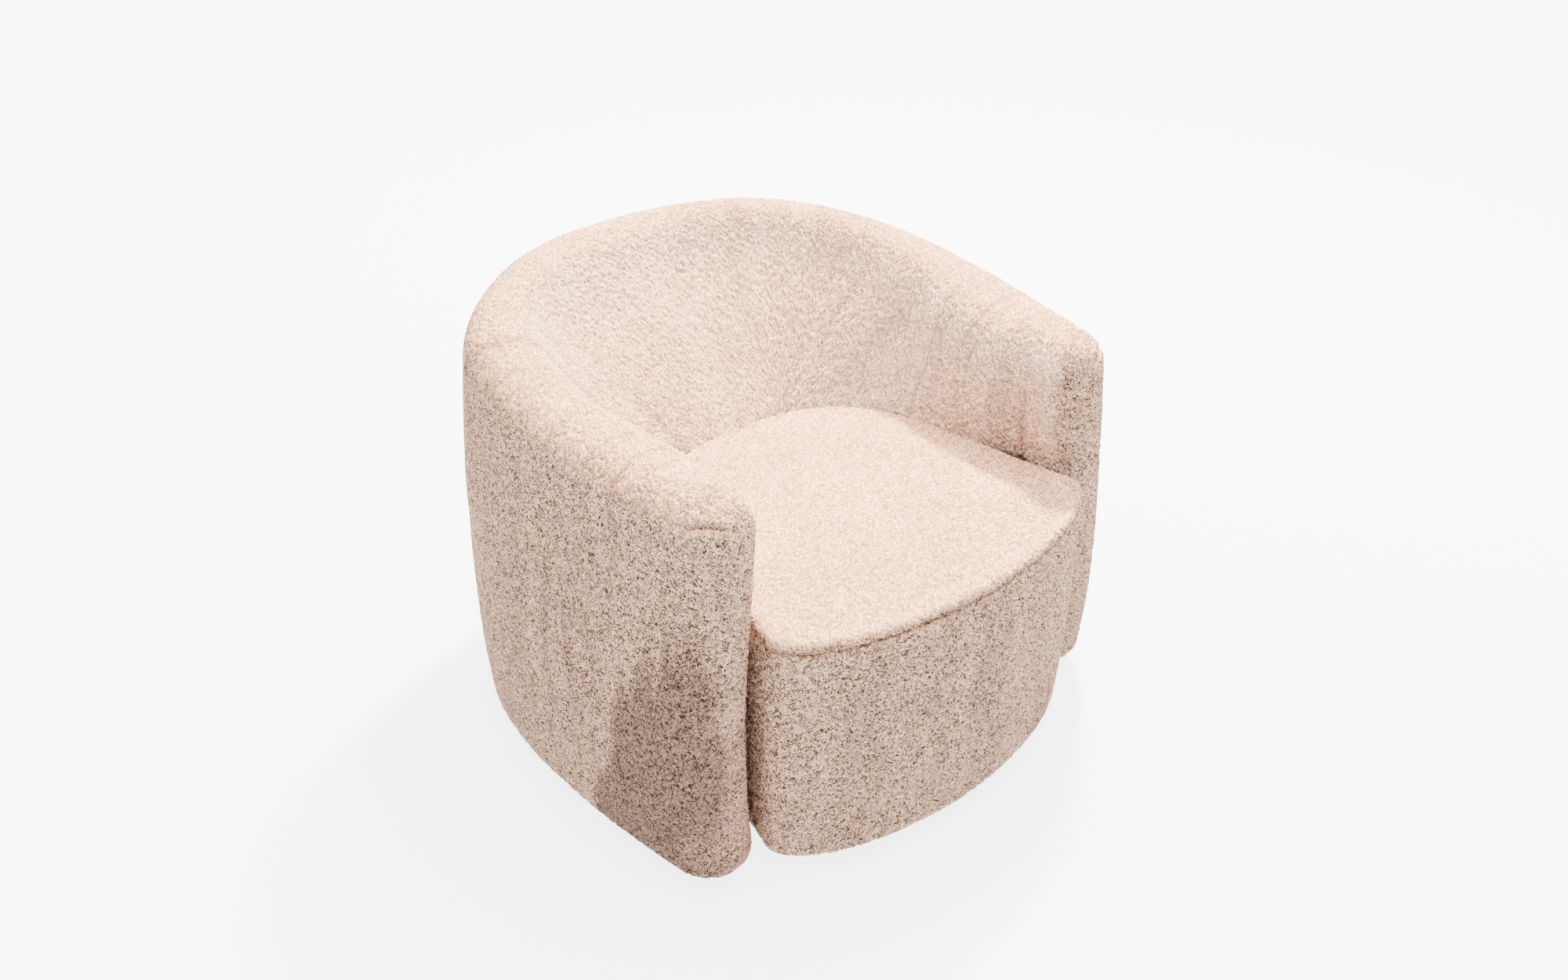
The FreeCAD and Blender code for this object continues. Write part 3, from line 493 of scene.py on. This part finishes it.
def mesh_from_grid(name, grid, normals, values, keep=None, closed=False, flip=False):
    """A mesh piece from a grid of points, with its own normals and a value per point for each name."""
    n, m = grid.shape[:2]
    index = np.arange(n * m).reshape(n, m)
    if closed:
        index = np.concatenate([index, index[:1]])
    quads = np.stack([index[:-1, :-1], index[:-1, 1:], index[1:, 1:], index[1:, :-1]], -1)
    if keep is not None:
        quads = quads[keep[:quads.shape[0], :quads.shape[1]]]
    quads = quads.reshape(-1, 4)
    if flip:
        quads = quads[:, ::-1]
    used, inverse = np.unique(quads, return_inverse=True)
    quads = inverse.reshape(-1, 4).astype(np.int32)
    points = grid.reshape(-1, 3)[used]
    mesh = bpy.data.meshes.new(name)
    mesh.vertices.add(len(points))
    mesh.vertices.foreach_set("co", points.astype(np.float32).ravel())
    mesh.loops.add(quads.size)
    mesh.loops.foreach_set("vertex_index", quads.ravel())
    mesh.polygons.add(len(quads))
    mesh.polygons.foreach_set("loop_start", np.arange(0, quads.size, 4, dtype=np.int32))
    mesh.update(calc_edges=True)
    mesh.validate()
    for key, value in values.items():
        layer = mesh.attributes.new(key, "FLOAT", "POINT")
        layer.data.foreach_set("value", value.reshape(-1)[used].astype(np.float32))
    mesh.polygons.foreach_set("use_smooth", np.ones(len(mesh.polygons), bool))
    mesh.normals_split_custom_set_from_vertices(normals.reshape(-1, 3)[used])
    piece = bpy.data.objects.new(name, mesh)
    bpy.context.scene.collection.objects.link(piece)
    return piece


# ---- materials ----------------------------------------------------------------------------
def material(name, color, roughness, metallic=0.0):
    m = bpy.data.materials.new(name)
    m.use_nodes = True
    shader = m.node_tree.nodes["Principled BSDF"]
    shader.inputs["Base Color"].default_value = (*color, 1)
    shader.inputs["Roughness"].default_value = roughness
    shader.inputs["Metallic"].default_value = metallic
    return m, m.node_tree, shader


def add(tree, kind, **settings):
    node = tree.nodes.new(kind)
    for key, value in settings.items():
        setattr(node, key, value)
    return node


def object_noise(tree, scale, detail=2.0, stretch=(1, 1, 1), roughness=0.5):
    """Noise in the object's own coordinates."""
    where = add(tree, "ShaderNodeTexCoord")
    spread = add(tree, "ShaderNodeMapping")
    spread.inputs["Scale"].default_value = stretch
    tree.links.new(where.outputs["Object"], spread.inputs["Vector"])
    pattern = add(tree, "ShaderNodeTexNoise")
    pattern.inputs["Scale"].default_value = scale
    pattern.inputs["Detail"].default_value = detail
    pattern.inputs["Roughness"].default_value = roughness
    tree.links.new(spread.outputs["Vector"], pattern.inputs["Vector"])
    return pattern.outputs["Fac"]


def color_ramp(tree, factor, stops):
    ramp = add(tree, "ShaderNodeValToRGB")
    points = ramp.color_ramp.elements
    while len(points) < len(stops):
        points.new(0.5)
    for point, (position, color) in zip(points, stops):
        point.position = position
        point.color = (*color, 1)
    tree.links.new(factor, ramp.inputs["Fac"])
    return ramp.outputs["Color"]


def multiply(tree, a, b):
    blend = add(tree, "ShaderNodeMix", data_type="RGBA", blend_type="MULTIPLY")
    blend.inputs["Factor"].default_value = 1.0
    tree.links.new(a, blend.inputs["A"])
    tree.links.new(b, blend.inputs["B"])
    return blend.outputs["Result"]


def bump(tree, shader, height, strength, distance):
    node = add(tree, "ShaderNodeBump")
    node.inputs["Strength"].default_value = strength
    node.inputs["Distance"].default_value = distance
    tree.links.new(height, node.inputs["Height"])
    tree.links.new(node.outputs["Normal"], shader.inputs["Normal"])


def strands(tree, scale, distortion, gap):
    """Winding strands of yarn: 1 on them, falling to 0 in the thin gaps between them."""
    where = add(tree, "ShaderNodeTexCoord")
    pattern = add(tree, "ShaderNodeTexNoise")
    pattern.inputs["Scale"].default_value = scale
    pattern.inputs["Detail"].default_value = 1.0
    pattern.inputs["Distortion"].default_value = distortion
    tree.links.new(where.outputs["Object"], pattern.inputs["Vector"])
    away = add(tree, "ShaderNodeMath", operation="SUBTRACT")
    away.inputs[1].default_value = 0.5
    size = add(tree, "ShaderNodeMath", operation="ABSOLUTE")
    crest = add(tree, "ShaderNodeMapRange", interpolation_type="SMOOTHSTEP")
    crest.inputs["From Max"].default_value = gap
    tree.links.new(pattern.outputs["Fac"], away.inputs[0])
    tree.links.new(away.outputs[0], size.inputs[0])
    tree.links.new(size.outputs[0], crest.inputs["Value"])
    return crest.outputs["Result"]


# Yarn colour by height within a curl, its dark low stops painted shade in the hollows; a darker copy for
# upright cloth (painted shade), a lighter one where it faces in and one where it faces up (both painted
# light).
SHADED_SIDE_YARN = [(0.18, (0.036, 0.020, 0.014)),
                (0.46, (0.205, 0.118, 0.076)),
                (0.80, (0.56, 0.350, 0.240))]
LIT_INSIDE_YARN = [(0.10, (0.46, 0.300, 0.215)),
               (0.45, (0.75, 0.520, 0.385)),
               (0.85, (0.88, 0.630, 0.480))]
LIT_TOP_YARN = [(0.10, (0.40, 0.200, 0.108)),
             (0.45, (0.66, 0.350, 0.200)),
             (0.85, (0.78, 0.425, 0.245))]

# Tone to colour: the brushed streaks, and at the dark end the painted shade of the seam and of the arm's
# patch.
STREAKS_AND_SHADE = [(0.0, (0.40, 0.395, 0.395)), (0.50, (0.86, 0.855, 0.85)), (1.0, (1.0, 1.0, 1.0))]
STRANDS_PER_METRE, STRAND_TWIST, STRAND_GAP, STRAND_DEPTH = 230, 1.0, 0.08, 0.003
STRAND_SHARE = 0.62          # strands against whole curls, in the colour and in its painted shade in the gaps


def boucle_material():
    m, tree, shader = material("boucle", (0.80, 0.62, 0.50), 0.95)
    nap, tone, top_light_share, inward = (add(tree, "ShaderNodeAttribute", attribute_name=name).outputs["Fac"]
                                    for name in ("nap", "tone", "painted_top_light", "inward"))
    fine = strands(tree, STRANDS_PER_METRE, STRAND_TWIST, STRAND_GAP)
    # Curl height and strands feed the yarn ramps, whose low stops are painted shade in the hollows between
    # curls and strands.
    both = add(tree, "ShaderNodeMix", data_type="FLOAT")
    both.inputs["Factor"].default_value = STRAND_SHARE
    tree.links.new(nap, both.inputs["A"])
    tree.links.new(fine, both.inputs["B"])
    height = both.outputs["Result"]
    # Upright cloth that faces in takes a lighter colour: painted light on the chair's inside.
    upright = add(tree, "ShaderNodeMix", data_type="RGBA")
    tree.links.new(inward, upright.inputs["Factor"])
    tree.links.new(color_ramp(tree, height, SHADED_SIDE_YARN), upright.inputs["A"])
    tree.links.new(color_ramp(tree, height, LIT_INSIDE_YARN), upright.inputs["B"])
    # Cloth that faces up takes the lighter top colour: painted light on the tops, painted shade on the
    # upright sides.
    yarn = add(tree, "ShaderNodeMix", data_type="RGBA")
    tree.links.new(top_light_share, yarn.inputs["Factor"])
    tree.links.new(upright.outputs["Result"], yarn.inputs["A"])
    tree.links.new(color_ramp(tree, height, LIT_TOP_YARN), yarn.inputs["B"])
    # Multiplies in the brushed streaks together with the painted shade of the seam and the patch.
    streaked_and_shaded = multiply(tree, yarn.outputs["Result"], color_ramp(tree, tone, STREAKS_AND_SHADE))
    tree.links.new(streaked_and_shaded, shader.inputs["Base Color"])
    shader.inputs["Specular IOR Level"].default_value = 0.15
    bump(tree, shader, fine, 1.0, STRAND_DEPTH)
    return m


def wood_material(name, dark, light, roughness=0.55, grain=(2.0, 26.0, 26.0)):
    m, tree, shader = material(name, light, roughness)
    rings = object_noise(tree, 3.0, 6.0, grain, 0.62)
    color = color_ramp(tree, rings, [(0.32, dark), (0.66, light)])
    flecks = object_noise(tree, 40, 2.0, (1, 12, 12))
    pores = color_ramp(tree, flecks, [(0.35, (0.8, 0.8, 0.8)), (0.5, (1, 1, 1))])
    tree.links.new(multiply(tree, color, pores), shader.inputs["Base Color"])
    bump(tree, shader, rings, 0.25, 0.0006)
    return m


def metal_material(name, color, roughness, brushed=(1, 1, 1)):
    m, tree, shader = material(name, color, roughness, 1.0)
    patch = object_noise(tree, 60, 4.0, brushed)
    dark = tuple(0.78 * c for c in color)
    tree.links.new(color_ramp(tree, patch, [(0.3, dark), (0.7, color)]), shader.inputs["Base Color"])
    bump(tree, shader, patch, 0.12, 0.0003)
    return m


def speckled_material(name, dark, light, roughness, scale, depth=0.0004, stretch=(1, 1, 1)):
    m, tree, shader = material(name, light, roughness)
    speckle = object_noise(tree, scale, 4.0, stretch)
    tree.links.new(color_ramp(tree, speckle, [(0.3, dark), (0.7, light)]), shader.inputs["Base Color"])
    bump(tree, shader, speckle, 0.4, depth)
    return m


MATERIALS = {
    "boucle": boucle_material(),
    "plywood": wood_material("plywood", (0.50, 0.34, 0.19), (0.74, 0.56, 0.36)),
    "hardwood": wood_material("hardwood", (0.42, 0.27, 0.15), (0.62, 0.44, 0.27), 0.6),
    "fibreboard": speckled_material("fibreboard", (0.30, 0.21, 0.12), (0.46, 0.34, 0.21), 0.8, 300),
    "black_wood": speckled_material("black_wood", (0.012, 0.012, 0.013),
                                    (0.03, 0.03, 0.032), 0.55, 220),
    "zinc_steel": metal_material("zinc_steel", (0.62, 0.62, 0.60), 0.38),
    "spring_steel": metal_material("spring_steel", (0.10, 0.10, 0.11), 0.42),
    "ball_steel": metal_material("ball_steel", (0.75, 0.75, 0.76), 0.12),
    "nylon": speckled_material("nylon", (0.03, 0.03, 0.032), (0.06, 0.06, 0.065), 0.5, 400, 0.0002),
    "dust_cloth": speckled_material("dust_cloth", (0.015, 0.015, 0.017),
                                    (0.045, 0.045, 0.05), 0.95, 900),
    "webbing": speckled_material("webbing", (0.34, 0.25, 0.14),
                                 (0.58, 0.45, 0.28), 0.9, 500, 0.0005, (1, 1, 6)),
}


def paint(piece, slot):
    piece.data.materials.clear()
    piece.data.materials.append(MATERIALS[slot])


def finish_cloth(piece, fill, *nodes):
    """A padded cover piece: bouclé, on the chair's body, standing for its soft solids."""
    paint(piece, "boucle")
    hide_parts(*nodes)
    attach(piece, BODY)


# ---- cover of the shell -------------------------------------------------------------------
def even_stations():
    """Stations evenly spaced along the wall's middle."""
    dense = np.linspace(0, 3, 6001)
    line = centre_line(dense)
    along = np.concatenate([[0], np.cumsum(np.linalg.norm(np.diff(line, axis=0), axis=1))])
    return np.interp(np.linspace(0, along[-1], rows(along[-1] * 1.08) + 1), along, dense)


def painted_top_light(normals):
    """0 on upright cloth, 1 where it faces up; it picks the lighter top colour, painted light, over the
    darker side colour, painted shade.
    """
    return smooth(normals[..., 2], 0.25, 0.88)


def painted_inside_light(points, normals):
    """1 on upright cloth that faces in towards the sitter, else down to 0; it picks a lighter colour there,
    painted light.
    """
    plan = points[..., :2] + (0.0, 0.05)
    inward = -(normals[..., :2] * plan).sum(-1) / np.linalg.norm(plan, axis=-1).clip(0.05)
    return smooth(inward, 0.1, 0.6)


STREAK_SPREAD = 0.9          # how far the streaks of the shell's thirds are spread out


def nap_tone(points, across, height):
    """Wavy upright streaks where the pile has been brushed, from 0 to 1."""
    where = np.stack([across * 26 + 0.35 * np.sin(height * 34 + across * 9), height * 3.2, 0 * height], -1)
    streak = noise(where, 1.0, 31) * 0.75 + noise(where * 2.3, 1.0, 32) * 0.35
    patch = noise(points, 0.12, 33)
    return np.clip(0.62 + 0.42 * streak + 0.18 * patch, 0, 1)


PLEAT_DEPTH, PLEAT_HALF_WIDTH, PLEAT_BOW = 0.0055, 0.0034, 0.0045
PLEAT_START, PLEAT_END = (0.402, -0.300, 0.611), (0.342, -0.352, 0.607)     # on the right nose
PUFF_AWAY, PUFF_HALF_WIDTH, PUFF_HEIGHTS = 0.012, 0.007, (0.0026, 0.0016)   # beside the pleat


def pleat(grid, normals, side):
    """A short pinch pleat across the upper outer side of a nose."""
    start = np.array(PLEAT_START) * (side, 1, 1)
    along = np.array(PLEAT_END) * (side, 1, 1) - start
    length = np.linalg.norm(along)
    along = along / length
    rel = grid - start
    t = (rel @ along) / length
    across = np.cross(along, normals) * side
    off = (rel * across).sum(-1) - PLEAT_BOW * np.sin(t * 4.0)
    aside = np.linalg.norm(rel - along * (t * length)[..., None], axis=-1)
    reach = np.exp(-0.5 * ((t - 0.38) / 0.30) ** 4) * (1 - smooth(aside, 0.025, 0.045))
    shape = -PLEAT_DEPTH * np.exp(-0.5 * (off / PLEAT_HALF_WIDTH) ** 2)
    for height, away in zip(PUFF_HEIGHTS, (PUFF_AWAY, -PUFF_AWAY)):
        shape = shape + height * np.exp(-0.5 * ((off - away) / PUFF_HALF_WIDTH) ** 2)
    return grid + normals * (shape * reach)[..., None]


def joined_normals(shell, left, right):
    """Normals of the wall and its two noses, worked out across their joins."""
    crest = left.shape[1]
    out, inn = slice(0, crest), slice(-1, -crest - 1, -1)
    before, after = shell[0].copy(), shell[-1].copy()
    before[out], before[inn] = left[1], left[-2]
    after[out], after[inn] = right[1], right[-2]
    grown = np.concatenate([before[None], shell, after[None]])
    shell_normals = grid_normals(grown)[1:-1]
    noses = []
    for nose, end in ((left, 1), (right, -2)):
        grown = np.concatenate([shell[end][out][None], nose, shell[end][inn][None]])
        normals = grid_normals(grown)[1:-1]
        if nose is left:
            normals = -normals
        normals[:, -1] = (0, 0, 1)
        noses.append(normals)
    for row, normals in ((0, noses[0]), (-1, noses[1])):
        shell_normals[row, crest - 1] = (0, 0, 1)
        normals[0, :] = shell_normals[row][out]
        normals[-1, :] = shell_normals[row][inn]
    return shell_normals, noses[0], noses[1]


def painted_seam_shade(points):
    """1 low by the seam round the seat, where the cloth is squeezed in; the tone drops there as painted
    shade.
    """
    return 1 - smooth(points[..., 2] - UNDERSIDE, SEAM_Z - 0.016, SEAM_Z)


def painted_shade_patch(points):
    """A patch of painted shade low on the outside of the left arm, from 0 to 1."""
    x, y, z = points[..., 0], points[..., 1], points[..., 2] - UNDERSIDE
    outside = smooth(-x, 0.36, 0.40)
    ahead = -0.125 - 0.23 * z + 0.008 * np.sin(z * 30) - y
    fade = smooth(ahead, -0.010, 0.035) * (1 - 0.8 * smooth(ahead, 0.05, 0.24))
    return outside * fade * (1 - smooth(z, 0.22, 0.50))


def make_shell_cover():
    u = even_stations()
    grids = [shell_grid(u), nose_grid(-1), nose_grid(1)]
    for stage in ("swell", "pleat"):
        for k, normals in enumerate(joined_normals(*grids)):
            if stage == "swell":
                swell = noise(grids[k], 0.16, 41) * 0.0016 + noise(grids[k], 0.07, 42) * 0.0008
                grids[k] = grids[k] + normals * swell[..., None]
            else:
                for side in (-1, 1):
                    grids[k] = pleat(grids[k], normals, side)
    naps, painted_top_lights, inward = [None] * 3, [None] * 3, [None] * 3
    for k, normals in enumerate(joined_normals(*grids)):
        # Mask of painted top light, by how far the cloth faces up.
        painted_top_lights[k] = painted_top_light(normals)
        # Mask of painted light on cloth that faces in.
        inward[k] = painted_inside_light(grids[k], normals)
        grids[k], naps[k] = boucle(grids[k], normals)
    normals = joined_normals(*grids)
    tones = []
    streak_starts = (STREAK_SPREAD * u, np.zeros(len(grids[1])), np.full(len(grids[2]), 3 * STREAK_SPREAD))
    for grid, across in zip(grids, streak_starts):
        across = np.broadcast_to(across[:, None], grid.shape[:2])
        # The tone takes the painted shade patch off the brushed streaks.
        tones.append(nap_tone(grid, across, grid[..., 2]) - SHADE_PATCH_DEPTH * painted_shade_patch(grid))
    shell, shell_normals, nap, tone = grids[0], normals[0], naps[0], tones[0]
    n, m = shell.shape[:2]
    # Painted shade darkens the inside cloth low by the seat's seam.
    tone[:, m // 2:] -= painted_seam_shade(shell[:, m // 2:])
    hidden_row = m - (FLANGE_ROWS + ROLL_ROWS + rows(TUCK_Z - 0.05))     # well below the tuck
    column = np.arange(n - 1)
    keep = np.ones((n - 1, m - 1), bool)
    inside = (column > n * 0.09) & (column < n * 0.91)                   # behind the seat
    keep[np.ix_(inside, np.arange(m - 1) >= hidden_row)] = False
    back = ("inside_back_foam", "back_roll_foam")
    panels = [("left_arm_cover", ("left_arm_inside_foam", "left_arm_roll_foam")),
              ("left_corner_cover", ("left_arm_inside_foam", "left_arm_roll_foam", *back)),
              ("back_left_cover", back),
              ("back_right_cover", back),
              ("right_corner_cover", ("right_arm_inside_foam", "right_arm_roll_foam", *back)),
              ("right_arm_cover", ("right_arm_inside_foam", "right_arm_roll_foam"))]
    cuts = np.linspace(0, n - 1, len(panels) + 1).astype(int)
    for (name, nodes), a, b in zip(panels, cuts[:-1], cuts[1:]):
        part = slice(a, b + 1)
        values = {"nap": nap[part], "tone": tone[part], "painted_top_light": painted_top_lights[0][part], "inward": inward[0][part]}
        piece = mesh_from_grid(name, shell[part], shell_normals[part], values, keep[a:b])
        finish_cloth(piece, 0.9, "shell_cover", "outside_wadding", *nodes)
    for k, name in ((1, "left_nose"), (2, "right_nose")):
        values = {"nap": naps[k], "tone": tones[k], "painted_top_light": painted_top_lights[k], "inward": inward[k]}
        piece = mesh_from_grid(name, grids[k], normals[k], values, flip=k == 1)
        finish_cloth(piece, 0.9, name + "_cover", name + "_foam")


# ---- cover of the seat --------------------------------------------------------------------
def make_seat():
    top, edge = seat_top_grid()
    top_normals = grid_normals(top)
    top_normals *= np.sign(top_normals[..., 2:3])
    edge_normals = grid_normals(edge, closed=True)
    edge_normals *= np.sign(np.median(edge_normals[:, 0, 2]))
    i, j = square_border(len(top))
    edge_normals[:, 0] = top_normals[i, j] = top_normals[i, j] + edge_normals[:, 0]
    top_normals /= np.linalg.norm(top_normals, axis=-1, keepdims=True)
    edge_normals /= np.linalg.norm(edge_normals, axis=-1, keepdims=True)
    for name, grid, normals, closed, nodes in (
            ("seat_top", top, top_normals, False, ("seat_cover", "seat_foam")),
            ("seat_edge", edge, edge_normals, True, ("seat_cover", "seat_foam", "spring_pad"))):
        grid = grid + normals * (noise(grid, 0.11, 51) * 0.0016 + noise(grid, 0.045, 54) * 0.0005)[..., None]
        # Painted shade low by the seam, as on the shell.
        tone = np.clip(0.75 + 0.25 * noise(grid, 0.09, 52), 0, 1) - painted_seam_shade(grid)
        grid, nap = boucle(grid, normals, 0.8)
        new = grid_normals(grid, closed)
        new *= np.sign((new * normals).sum(-1, keepdims=True))
        step_u = grid[1:, :-1] - grid[:-1, :-1]
        step_v = grid[:-1, 1:] - grid[:-1, :-1]
        facing = (np.cross(step_u, step_v) * new[:-1, :-1]).sum() > 0
        values = {"nap": nap, "tone": tone, "painted_top_light": painted_top_light(normals)}
        piece = mesh_from_grid(name, grid, new, values, closed=closed, flip=bool(facing))
        finish_cloth(piece, 0.85, *nodes)

    band = band_grid()
    normals = grid_normals(band)
    band = band + normals * (noise(band, 0.12, 53) * 0.0014)[..., None]
    # Mask of painted top light on the band.
    top_light_share = painted_top_light(normals)
    band, nap = boucle(band, normals)
    tone = nap_tone(band, band[..., 0], band[..., 2])
    normals = grid_normals(band)
    piece = mesh_from_grid("front_band", band, normals, {"nap": nap, "tone": tone, "painted_top_light": top_light_share})
    finish_cloth(piece, 0.9, "front_band_cover", "front_band_padding")


# ---- hard pieces --------------------------------------------------------------------------
def paint_frame():
    slots = {s["node"]: s["material_slot"] for s in frame["record"]["subparts"]}
    for name, node in frame["nodes"].items():
        if not node.hide_render:
            paint(node, slots[name])


# ---- stage --------------------------------------------------------------------------------
AZIMUTH, ELEVATION, ROLL = math.radians(-41.34), math.radians(32.97), math.radians(1.24)
DISTANCE = 2.0206
TARGET = (-0.0008, -0.0155, 0.330 + UNDERSIDE)
SENSOR = 36                  # mm
LENS = 0.8165 * SENSOR


def make_camera():
    data = bpy.data.cameras.new("camera")
    data.sensor_width = SENSOR
    data.lens = LENS
    camera = bpy.data.objects.new("camera", data)
    bpy.context.scene.collection.objects.link(camera)
    back = Vector((math.sin(AZIMUTH) * math.cos(ELEVATION), -math.cos(AZIMUTH) * math.cos(ELEVATION),
                   math.sin(ELEVATION)))
    camera.location = Vector(TARGET) + back * DISTANCE
    camera.rotation_mode = "QUATERNION"
    camera.rotation_quaternion = (-back).to_track_quat("-Z", "Y") @ Quaternion((0, 0, 1), ROLL)
    bpy.context.scene.camera = camera


def make_light(name, place, target, size, watts, color=(1, 1, 1)):
    data = bpy.data.lights.new(name, "AREA")
    data.size = size
    data.energy = watts
    data.color = color
    light = bpy.data.objects.new(name, data)
    light.location = place
    light.rotation_euler = (Vector(target) - Vector(place)).to_track_quat("-Z", "Y").to_euler()
    bpy.context.scene.collection.objects.link(light)


FLOOR_ALBEDO = 0.40
FLOOR_GLOW = (4.4, 8.6)      # the floor's own light, under the lamps and far from them
LAMP_REACH = 3.6             # where the lamps' light has dropped to a quarter
WORLD_STRENGTH = 0.35


def floor_material():
    """An evenly white studio floor: its own light grows as that of the lamps falls off."""
    m, tree, shader = material("floor", (FLOOR_ALBEDO,) * 3, 0.9)
    shader.inputs["Specular IOR Level"].default_value = 0.0
    where = add(tree, "ShaderNodeTexCoord")
    reach = add(tree, "ShaderNodeVectorMath", operation="SCALE")
    reach.inputs["Scale"].default_value = 1 / LAMP_REACH
    square = add(tree, "ShaderNodeVectorMath", operation="DOT_PRODUCT")
    beyond = add(tree, "ShaderNodeMath", operation="ADD")
    beyond.inputs[1].default_value = 1.0
    left = add(tree, "ShaderNodeMath", operation="POWER")
    left.inputs[1].default_value = -2.0
    glow = add(tree, "ShaderNodeMapRange")
    glow.inputs["To Min"].default_value = FLOOR_GLOW[1]
    glow.inputs["To Max"].default_value = FLOOR_GLOW[0]
    tree.links.new(where.outputs["Object"], reach.inputs[0])
    tree.links.new(reach.outputs[0], square.inputs[0])
    tree.links.new(reach.outputs[0], square.inputs[1])
    tree.links.new(square.outputs["Value"], beyond.inputs[0])
    tree.links.new(beyond.outputs[0], left.inputs[0])
    tree.links.new(left.outputs[0], glow.inputs["Value"])
    tree.links.new(glow.outputs["Result"], shader.inputs["Emission Strength"])
    shader.inputs["Emission Color"].default_value = (1, 1, 1, 1)
    return m


def make_stage():
    bpy.ops.mesh.primitive_plane_add(size=60, location=(0, 0, 0))
    floor = bpy.context.object
    floor.name = "floor"
    floor.data.materials.append(floor_material())
    world = bpy.data.worlds.new("world")
    world.use_nodes = True
    world.node_tree.nodes["Background"].inputs["Color"].default_value = (1, 1, 1, 1)
    world.node_tree.nodes["Background"].inputs["Strength"].default_value = WORLD_STRENGTH
    bpy.context.scene.world = world
    make_light("overhead", (0.2, -0.1, 3.6), (0, 0, 0), 4.0, 930)
    make_light("key", (1.7, 0.95, 3.2), (0, 0, 0.4), 0.28, 1000, (1.0, 0.96, 0.91))


make_shell_cover()
make_seat()
paint_frame()
make_camera()
make_stage()
